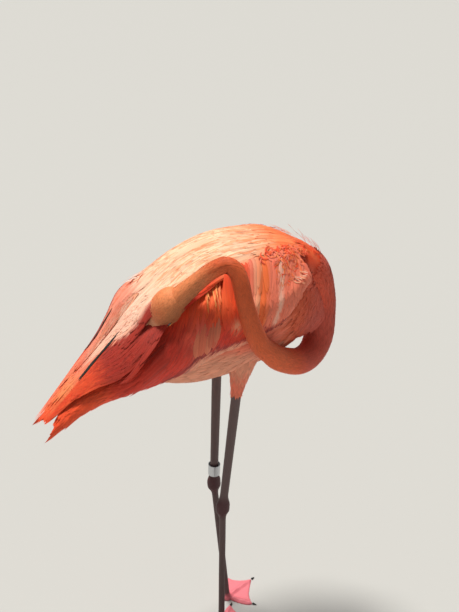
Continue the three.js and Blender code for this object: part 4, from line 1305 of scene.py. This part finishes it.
print("rows of plumes:", len(BACK_ROWS), "bands,", PLUME_WIDTH, "mm wide")

# %% [markdown]
# ## The slit, the ridge and the wisps
#
# The outermost flight feathers are black and show only in the slit between the back's
# plumes and the wing. Plumes just above the slit are lifted clear of it, so it reads as a
# gap. Others close the line where the two halves of the back meet, and a few wisps break
# the outline, as they do on any bird in a light wind.

# %% Slit, ridge and wisps
SLIT = np.array([   # row, share across
    [4.6, 0.36], [6.75, 0.40], [7.0, 0.43], [7.36, 0.46], [7.7, 0.52], [8.04, 0.59], [8.35, 0.63]])
BLACK_FEATHERS = {"right": 10, "left": 3}
ABOVE_SLIT = 60
ALONG_RIDGE = 44
SHOULDER_WISPS, RUMP_WISPS = 16, 10


def slit_feathers(coat, surface, rng, black):
    """Black flight feathers in the slit, and plumes just above it."""
    t = np.linspace(6.75, 7.85, black)
    coat.add(t, read_off(SLIT, t), np.full(black, 0.12), np.full(black, 38.0), np.full(black, 4.2),
             picked(rng, black, "soot"), rise=(0.4, 2.0), steps=9)
    t = rng.uniform(4.6, 7.8, ABOVE_SLIT)
    u = read_off(SLIT, t) - rng.uniform(0.10, 0.30, ABOVE_SLIT)
    size = np.minimum(rng.uniform(90, 130, ABOVE_SLIT), room_behind(surface, t, BACK_LAST))
    coat.add(t, u, rng.normal(0.02, 0.02, ABOVE_SLIT), size, rng.uniform(7, 10, ABOVE_SLIT), "back",
             rise=(-0.5, 1.8), tip=0.3, steps=10, edge=0.15)


def ridge_and_wisps(coat, surface, rng):
    """Plumes along the ridge, wisps off the shoulder, and pale ones off the rump."""
    t, u = rng.uniform(2.5, 8.2, ALONG_RIDGE), rng.uniform(0.0, 0.07, ALONG_RIDGE)
    size = np.minimum(rng.uniform(80, 120, ALONG_RIDGE), room_behind(surface, t, BACK_LAST))
    coat.add(t, u, rng.normal(0.0, 0.02, ALONG_RIDGE), size, rng.uniform(7, 10, ALONG_RIDGE), "back",
             rise=(-1.0, 1.4), tip=0.3, steps=10, edge=0.1)
    t, u = rng.uniform(-0.2, 0.6, SHOULDER_WISPS), rng.uniform(0.0, 0.9, SHOULDER_WISPS)
    coat.add(t, u, rng.normal(0.1, 0.3, SHOULDER_WISPS), rng.uniform(18, 30, SHOULDER_WISPS),
             rng.uniform(1.4, 2.4, SHOULDER_WISPS), picked(rng, SHOULDER_WISPS, "apricot", "ember"),
             rise=(0.3, 5.0), tip=0.1, steps=7, across=3)
    t, u = rng.uniform(5.0, 5.5, RUMP_WISPS), rng.uniform(0.35, 0.75, RUMP_WISPS)
    coat.add(t, u, rng.normal(0.0, 0.3, RUMP_WISPS), rng.uniform(20, 30, RUMP_WISPS),
             rng.uniform(2, 3.4, RUMP_WISPS), picked(rng, RUMP_WISPS, "frost", "blush"),
             rise=(0.3, 5.0), tip=0.1, steps=7, across=3)


print("black feathers:", BLACK_FEATHERS)

# %% [markdown]
# ## Plumes over the eye
#
# The head lies on the right wing with its bill among the plumes, and the near eye would
# stand out of the back's surface. Real plumes are pushed up by the head and fall over it.
# So the surface itself is raised there in a smooth mound, and plumes are laid over that.
# A separate sheet would stand off like a hood when seen from behind.

# %% Mound and back coats
MOUND_HEIGHT, MOUND_CLEARANCE = 19, 0.6   # millimetres
MOUND_ROW, MOUND_SHARE = 5.5, 0.64   # where its top is
MOUND_LENGTH, MOUND_WIDTH = 0.65, 0.2   # its spread in rows and in shares
MOUND_PLUMES = (   # how many, rows, shares across, how deep their roots are
    (150, (4.7, 6.2), (0.12, 0.74), -4.0), (40, (4.8, 5.4), (0.48, 0.70), 0.0))


def mound_at(t, u):
    """The right half of the back, raised in a bell over the eye, which rests among the plumes."""
    bell = -(((t - MOUND_ROW) / MOUND_LENGTH) ** 2) - ((u - MOUND_SHARE) / MOUND_WIDTH) ** 2
    return panel_at(BACK["right"], -1)(t, u, -(MOUND_CLEARANCE + MOUND_HEIGHT * np.exp(bell)))


def mound_plumes(coat, rng):
    """Plumes laid over the eye and the base of the bill."""
    for count, rows, shares, root in MOUND_PLUMES:
        t, u = rng.uniform(*rows, count), rng.uniform(*shares, count)
        coat.add(t, u, rng.normal(0.06, 0.04, count), rng.uniform(40, 60, count), rng.uniform(7, 11, count),
                 "back", vary=0.06, shift=5, fleck=(0.2, 0.3), rise=(root, 0.8), tip=0.3, steps=10,
                 edge=0.1)


for side, sign in SIDES.items():
    rng = np.random.default_rng(47 + sign)
    half, inner = panel_at(BACK[side], sign), inside_of("panel", sign)
    coat = Coat("coat_back_" + side).on("back_" + side, half, inner, BACK_LAST)
    back_rows(coat, half, rng)
    plume_ends(coat, half, rng)
    slit_feathers(coat, half, rng, BLACK_FEATHERS[side])
    ridge_and_wisps(coat, half, rng)
    if side == "right":
        coat.on("back_right", mound_at, inner, BACK_LAST)
        mound_plumes(coat, rng)
    coats["back_" + side] = coat.finish()

# %% [markdown]
# ## Bill
#
# The bill is bent in the middle, with a slim ridge over a deep keel, and turns black
# towards its tip. Each half is a loft of ellipses between two lines of its side view, so
# the mouth's line is shared and the halves meet all along it.

# %% Bill
BILL = {   # forwards and upwards in the head's frame; the last is half the bill's width
    "ridge": [[34.4, 10.5], [50, 9], [66, 5.5], [81, -3], [94, -17], [104, -34], [110, -50], [111, -62]],
    "mouth": [[34.4, -4], [50, -5], [63, -7], [75, -13], [86, -24], [97, -38], [105, -52], [108.5, -61.5]],
    "keel": [[34.4, -15.5], [47, -21], [58, -28], [68, -34], [78, -42], [88, -51], [97, -60], [104, -65]],
    "half": [[12.5], [11.5], [11], [11], [10], [8.5], [6.5], [3]],
}


def mandible(edge, name):
    """Half of the bill: ellipses that span from its outer line to the mouth line."""
    t, turn = np.meshgrid(np.linspace(0, 7, 70), np.arange(40) / 40, indexing="ij")
    outer, mouth, half = (through(BILL[k], t) for k in (edge, "mouth", "half"))
    angle = (2 * np.pi * turn)[..., None]
    narrow = 1.0 if edge == "ridge" else 0.94
    middle, span = (outer + mouth) / 2, (outer - mouth) / 2
    span = span * (1 - 0.15 / np.maximum(np.linalg.norm(span, axis=-1, keepdims=True), 1))
    flat = middle + span * np.sin(angle)
    points = np.stack([flat[..., 0], (narrow * half * np.cos(angle))[..., 0], flat[..., 1]], -1)
    points, faces = closed_loft(from_head(points))
    along = np.concatenate([t[:1], t, t[-1:]]).reshape(-1)
    pale = mix(linear("peach"), linear("web"), ramp(along, 1.5, 3.6)[:, None] * 0.6)
    return mesh_from(name, points, faces, mix(pale, linear("soot") * 0.6, ramp(along, 4.1, 4.7)[:, None]))


hard = {"bill_top": mandible("ridge", "bill_top"), "bill_base": mandible("keel", "bill_base")}
print("bill:", len(hard["bill_top"].data.vertices), "points in each half")

# %% [markdown]
# ## Eyes
#
# An eye is a glossy ball set into the head. Its pole faces out, so pupil, iris and rim
# are rings about the pole, and a colour for each angle from it draws them all.

# %% Eyes
def eyeball(side):
    """A ball with its pole facing out: black pupil, pale yellow iris and a dark rim by angle."""
    ring = np.arange(48) / 48 * 2 * np.pi
    polar, turn = np.meshgrid(np.linspace(0.01, np.pi - 0.01, 48), ring, indexing="ij")
    out = SIDES[side] * np.cos(polar)
    bulge = np.stack([np.sin(polar) * np.cos(turn), out, np.sin(polar) * np.sin(turn)], -1)
    centre = EYE_PLACE * [1, SIDES[side], 1]
    points, faces = closed_loft(from_head(centre + EYE_RADIUS * bulge))
    polar = np.concatenate([polar[:1], polar, polar[-1:]]).reshape(-1)
    tint = mix(linear("soot") * 0.3, linear("straw"), ramp(polar, 0.36, 0.42)[:, None])
    tint = mix(tint, linear("soot"), ramp(polar, 0.80, 0.92)[:, None])
    return mesh_from("eyeball_" + side, points, faces, tint)


for side in SIDES:
    hard["eyeball_" + side] = eyeball(side)
print("eyes:", 2 * EYE_RADIUS, "mm across")

# %% [markdown]
# ## Claws
#
# Each toe ends in a small dark claw that bends down a little. It is a cone carried along
# a shallow arc, and it starts where its toe stops.

# %% Claws
CLAW_LENGTH = 9
TOE_NAMES = ("inner", "middle", "outer", "hind")


def claw(side, toe):
    """A cone that bends down a little as it runs out from its toe."""
    hub = np.array(LEG[side]["hub"], float)
    if toe == "hind":
        out, start = foot_back(side), hub + foot_back(side) * 15.9 + [0, 0, 2.5]
    else:
        length, turn = TOES[toe]
        angle = math.radians(FOOT_TURN[side] + SIDES[side] * turn)
        out = np.array([math.cos(angle), math.sin(angle), 0])
        start = hub + out * length + [0, 0, 2.5]
    down = unit(out + [0, 0, -0.16])

    def line(share):
        share = np.asarray(share)[..., None]
        return start + share * CLAW_LENGTH * down + 0.5 * (1 - (2 * share - 1) ** 2) * [0, 0, 1]

    t, turn = np.meshgrid(np.linspace(0.03, 1, 12), np.arange(16) / 16, indexing="ij")
    points, faces = closed_loft(tube_at(line, mix(2.3, 0.5, t**1.2), t, turn))
    points[:, 2] = np.maximum(points[:, 2], 0.05)
    tint = np.tile(linear("soot"), (len(points), 1))
    return mesh_from(f"horn_claw_{toe}_{side}", points, faces, tint)


for side in SIDES:
    for toe in TOE_NAMES:
        hard[f"claw_{toe}_{side}"] = claw(side, toe)
print("claws:", len(SIDES) * len(TOE_NAMES))

# %% [markdown]
# ## Leg ring
#
# A plain metal band round the left shank, just above the ankle. It is turned: a rounded
# rectangle carried round the shank's axis, with a thin groove where its ends would meet.

# %% Leg ring
RING_ABOVE_ANKLE = 33.5
RING_SIDES = 96
RING_PROFILE = np.array([   # distance from the axis, height along it
    [10.6, -11.6], [10.9, -12], [11.7, -12], [12, -11.6], [12, 11.6], [11.7, 12], [10.9, 12], [10.6, 11.6]])
GROOVE_DEPTH, GROOVE_WIDTH = 0.35, 0.035   # millimetres and radians


def leg_band():
    """The profile times cosine and sine of the turn about the shank, less a bell for the groove."""
    low, high = (np.array(LEG["left"][k], float) for k in ("ankle", "feathers"))
    axis = unit(high - low)
    centre = low + axis * RING_ABOVE_ANKLE
    side = unit(np.cross(axis, [0, 1, 0]))
    other = np.cross(axis, side)
    turn = np.linspace(0, 2 * np.pi, RING_SIDES + 1)[:-1]
    groove = GROOVE_DEPTH * np.exp(-(((turn - np.pi) / GROOVE_WIDTH) ** 2))[:, None]
    reach = RING_PROFILE[None, :, 0]
    r = reach - groove * (reach > 11.5)
    ring = side * np.cos(turn)[:, None, None] + other * np.sin(turn)[:, None, None]
    points = centre + ring * r[..., None] + axis * RING_PROFILE[None, :, 1:]
    count = RING_SIDES * len(RING_PROFILE)
    faces = grid_faces(RING_SIDES + 1, len(RING_PROFILE), closed=True) % count
    tint = np.tile(np.array([0.55, 0.56, 0.58]), (count, 1))
    return mesh_from("leg_band", points, faces, tint, smooth=False)


hard["leg_band"] = leg_band()
print("hard pieces:", len(hard))

# %% [markdown]
# ## Nodes for finishes
#
# A material is a small graph of nodes. A few helpers keep it readable: one adds a node,
# one does arithmetic, one mottles a colour with cloudy noise in the piece's own space,
# and one turns a height into a bump.

# %% Nodes for finishes
def new_material(name, roughness, **constants):
    """A Principled material of that roughness and those shader constants; returns it with its tree and
    shader.
    """
    material = bpy.data.materials.new(name)
    material.use_nodes = True
    shader = material.node_tree.nodes["Principled BSDF"]
    shader.inputs["Roughness"].default_value = roughness
    for label, value in constants.items():
        shader.inputs[label.replace("_", " ")].default_value = value
    return material, material.node_tree, shader


def node(tree, kind, **settings):
    """A node with its settings."""
    made = tree.nodes.new(kind)
    for key, value in settings.items():
        setattr(made, key, value)
    return made


def math_node(tree, operation, a, b):
    """A Math node of two inputs, each a socket or a number."""
    made = node(tree, "ShaderNodeMath", operation=operation)
    for slot_number, value in enumerate((a, b)):
        if isinstance(value, (int, float)):
            made.inputs[slot_number].default_value = value
        else:
            tree.links.new(value, made.inputs[slot_number])
    return made.outputs[0]


def mottled(tree, colour, scale, amount):
    """A colour made lighter and darker by cloudy noise on Object coordinates."""
    coordinates = node(tree, "ShaderNodeTexCoord")
    noise = node(tree, "ShaderNodeTexNoise")
    noise.inputs["Scale"].default_value = scale
    noise.inputs["Detail"].default_value = 4
    tree.links.new(coordinates.outputs["Object"], noise.inputs["Vector"])
    swing = math_node(tree, "MULTIPLY", noise.outputs["Fac"], 2 * amount)
    value = math_node(tree, "ADD", swing, 1 - amount)
    adjust = node(tree, "ShaderNodeHueSaturation")
    tree.links.new(colour, adjust.inputs["Color"])
    tree.links.new(value, adjust.inputs["Value"])
    return adjust.outputs["Color"], noise.outputs["Fac"]


def bumped(tree, shader, height, strength, distance):
    """A bump on the shader from a height."""
    bump = node(tree, "ShaderNodeBump")
    bump.inputs["Strength"].default_value = strength
    bump.inputs["Distance"].default_value = distance
    tree.links.new(height, bump.inputs["Height"])
    tree.links.new(bump.outputs["Normal"], shader.inputs["Normal"])


print("node helpers ready in Blender", bpy.app.version_string)

# %% [markdown]
# ## Finishes
#
# Every finish reads the piece's own colour attribute, so one material serves many
# pieces. Feathers add barbs: fine slanting lines from the shaft, worked out from the
# vane's own map as a wave, and a pale shaft down the middle. Skin, horn, eye and metal
# differ only in how smooth they are and how finely they are mottled.

# %% Finishes
SHAFT_WIDTH = 0.035   # as a share of the vane's width


def feather_finish(name, barbs, contrast, streak):
    """Plumage: tint, streaks drawn out along the vane, and barbs as sin(barbs * (along - |across|))."""
    material, tree, shader = new_material(name, 0.68, Sheen_Weight=0.06, Sheen_Roughness=0.5)
    tint = node(tree, "ShaderNodeAttribute", attribute_name="tint")
    colour, _ = mottled(tree, tint.outputs["Color"], 45, 0.08)
    vane = node(tree, "ShaderNodeUVMap", uv_map="vane")
    drawn = node(tree, "ShaderNodeMapping")
    drawn.inputs["Scale"].default_value = (7.0, 0.9, 1.0)
    tree.links.new(vane.outputs["UV"], drawn.inputs["Vector"])
    grain = node(tree, "ShaderNodeTexNoise")
    grain.inputs["Scale"].default_value = 1.0
    grain.inputs["Detail"].default_value = 3
    tree.links.new(drawn.outputs["Vector"], grain.inputs["Vector"])
    split = node(tree, "ShaderNodeSeparateXYZ")
    tree.links.new(vane.outputs["UV"], split.inputs[0])
    across = math_node(tree, "FRACT", split.outputs["X"], 0)
    aside = math_node(tree, "ABSOLUTE", math_node(tree, "SUBTRACT", across, 0.5), 0)
    slant = math_node(tree, "SUBTRACT", split.outputs["Y"], math_node(tree, "MULTIPLY", aside, 0.5))
    wave = math_node(tree, "SINE", math_node(tree, "MULTIPLY", slant, barbs), 0)
    shade = math_node(tree, "ADD", math_node(tree, "MULTIPLY", wave, contrast), 1.0 - streak)
    shade = math_node(tree, "ADD", shade, math_node(tree, "MULTIPLY", grain.outputs["Fac"], 2 * streak))
    shaft = math_node(tree, "LESS_THAN", aside, SHAFT_WIDTH)
    shade = math_node(tree, "ADD", shade, math_node(tree, "MULTIPLY", shaft, 0.10))
    adjust = node(tree, "ShaderNodeHueSaturation")
    tree.links.new(colour, adjust.inputs["Color"])
    tree.links.new(shade, adjust.inputs["Value"])
    tree.links.new(adjust.outputs["Color"], shader.inputs["Base Color"])
    bumped(tree, shader, math_node(tree, "ADD", wave, grain.outputs["Fac"]), 0.25, 0.0004)
    return material


def smooth_finish(name, roughness, scale, amount, bump, **constants):
    """Skin, horn, eye or metal: tint with cloudy variation and a fine bump."""
    material, tree, shader = new_material(name, roughness, **constants)
    tint = node(tree, "ShaderNodeAttribute", attribute_name="tint")
    colour, cloud = mottled(tree, tint.outputs["Color"], scale, amount)
    tree.links.new(colour, shader.inputs["Base Color"])
    if bump:
        bumped(tree, shader, cloud, bump, 0.0005)
    return material


FINISHES = {
    "plume": feather_finish("long_plumes", 150.0, 0.03, 0.34),
    "contour": feather_finish("contour_feathers", 90.0, 0.04, 0.26),
    "velvet": feather_finish("neck_feathers", 12.0, 0.02, 0.05),
    "skin": smooth_finish("bird_skin", 0.55, 700, 0.22, 0.5),
    "horn": smooth_finish("bill_horn", 0.32, 160, 0.06, 0.1),
    "claw": smooth_finish("claw_horn", 0.3, 200, 0.1, 0.1),
    "eye": smooth_finish("wet_eye", 0.08, 300, 0.15, 0, Coat_Weight=1.0),
    "ring": smooth_finish("ring_metal", 0.33, 400, 0.05, 0.08, Metallic=1.0),
}
print("finishes:", ", ".join(FINISHES))

# %% [markdown]
# ## Dressing the frame
#
# Each piece rides on the bird's single body, takes its finish, and hides the solids it
# stands for. The feathers stand for none: the skin under them does.

# %% Ride, replace and finish
def dress(piece, finish, slot_name, *stands_for):
    """Puts a piece on the body with its finish and hides the solids it replaces; slot_name is not used."""
    piece.data.materials.append(FINISHES[finish])
    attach(piece, "root")
    if stands_for:
        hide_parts(*stands_for)


dress(skin, "skin", "leg_skin", *FLESH)
COAT_FINISH = {
    "neck": ("velvet", "neck_plumage"), "head": ("velvet", "neck_plumage"),
    "body": ("contour", "body_plumage"),
    "wing_right": ("contour", "wing_plumage"), "wing_left": ("contour", "wing_plumage"),
    "back_right": ("plume", "back_plumage"), "back_left": ("plume", "back_plumage"),
}
for name, (finish, slot_name) in COAT_FINISH.items():
    dress(coats[name], finish, slot_name)
dress(hard["bill_top"], "horn", "bill", "bill_upper")
dress(hard["bill_base"], "horn", "bill", "bill_lower")
for side in SIDES:
    dress(hard["eyeball_" + side], "eye", "eye", "eye_" + side)
    for toe in TOE_NAMES:
        dress(hard[f"claw_{toe}_{side}"], "claw", "claw", f"claw_{toe}_{side}")
dress(hard["leg_band"], "ring", "ring_metal", "leg_ring")
print("dressed:", 1 + len(coats) + len(hard), "pieces")

# %% [markdown]
# ## Floor
#
# A plain pale floor without an edge, so nothing competes with the bird. It belongs to the
# stage and not to the object.

# %% Floor
FLOOR_HALF = 40.0   # metres

floor_mesh = bpy.data.meshes.new("floor")
corners = [(x * FLOOR_HALF, y * FLOOR_HALF, 0) for x, y in ((-1, -1), (1, -1), (1, 1), (-1, 1))]
floor_mesh.from_pydata(corners, [], [(0, 1, 2, 3)])
floor = bpy.data.objects.new("floor", floor_mesh)
bpy.context.collection.objects.link(floor)
floor_material, _, floor_shader = new_material("pale_floor", 0.9)
floor_shader.inputs["Base Color"].default_value = (0.52, 0.52, 0.50, 1)
floor_mesh.materials.append(floor_material)
print("floor:", 2 * FLOOR_HALF, "metres wide")

# %% [markdown]
# ## Light
#
# One soft-edged key stands almost overhead, leaning to the bird's rear and its left, so
# the back is bright and the flank is in shade. A weak fill comes from the viewer's side,
# and an even grey surround keeps the shade open.

# %% Light
KEY_STRENGTH, KEY_SPREAD = 3.9, 14
FILL_STRENGTH, FILL_SPREAD = 0.10, 60
SURROUND_STRENGTH = 0.21


def distant_light(name, direction, strength, spread, colour=(1, 1, 1)):
    """A far, soft-edged light that shines evenly from a direction; spread is its width in degrees."""
    data = bpy.data.lights.new(name, "SUN")
    data.energy, data.angle, data.color = strength, math.radians(spread), colour
    light = bpy.data.objects.new(name, data)
    bpy.context.collection.objects.link(light)
    light.rotation_euler = Vector(direction).to_track_quat("Z", "Y").to_euler()


camera_right = np.array([LOOK_LEVEL[1], -LOOK_LEVEL[0], 0])
camera_ahead = np.array([LOOK_LEVEL[0], LOOK_LEVEL[1], 0])
from_above = -0.20 * camera_right + 0.14 * camera_ahead + [0, 0, 0.95]
from_viewer = 0.5 * camera_right - 0.8 * camera_ahead + [0, 0, 0.5]
distant_light("key", from_above, KEY_STRENGTH, KEY_SPREAD, (1.0, 0.97, 0.92))
distant_light("fill", from_viewer, FILL_STRENGTH, FILL_SPREAD)
world = bpy.data.worlds.new("surround")
world.use_nodes = True
surround = world.node_tree.nodes["Background"].inputs
surround["Color"].default_value = (0.86, 0.86, 0.88, 1)
surround["Strength"].default_value = SURROUND_STRENGTH
bpy.context.scene.world = world
bpy.context.scene.view_settings.view_transform = "Standard"
print("lights placed")
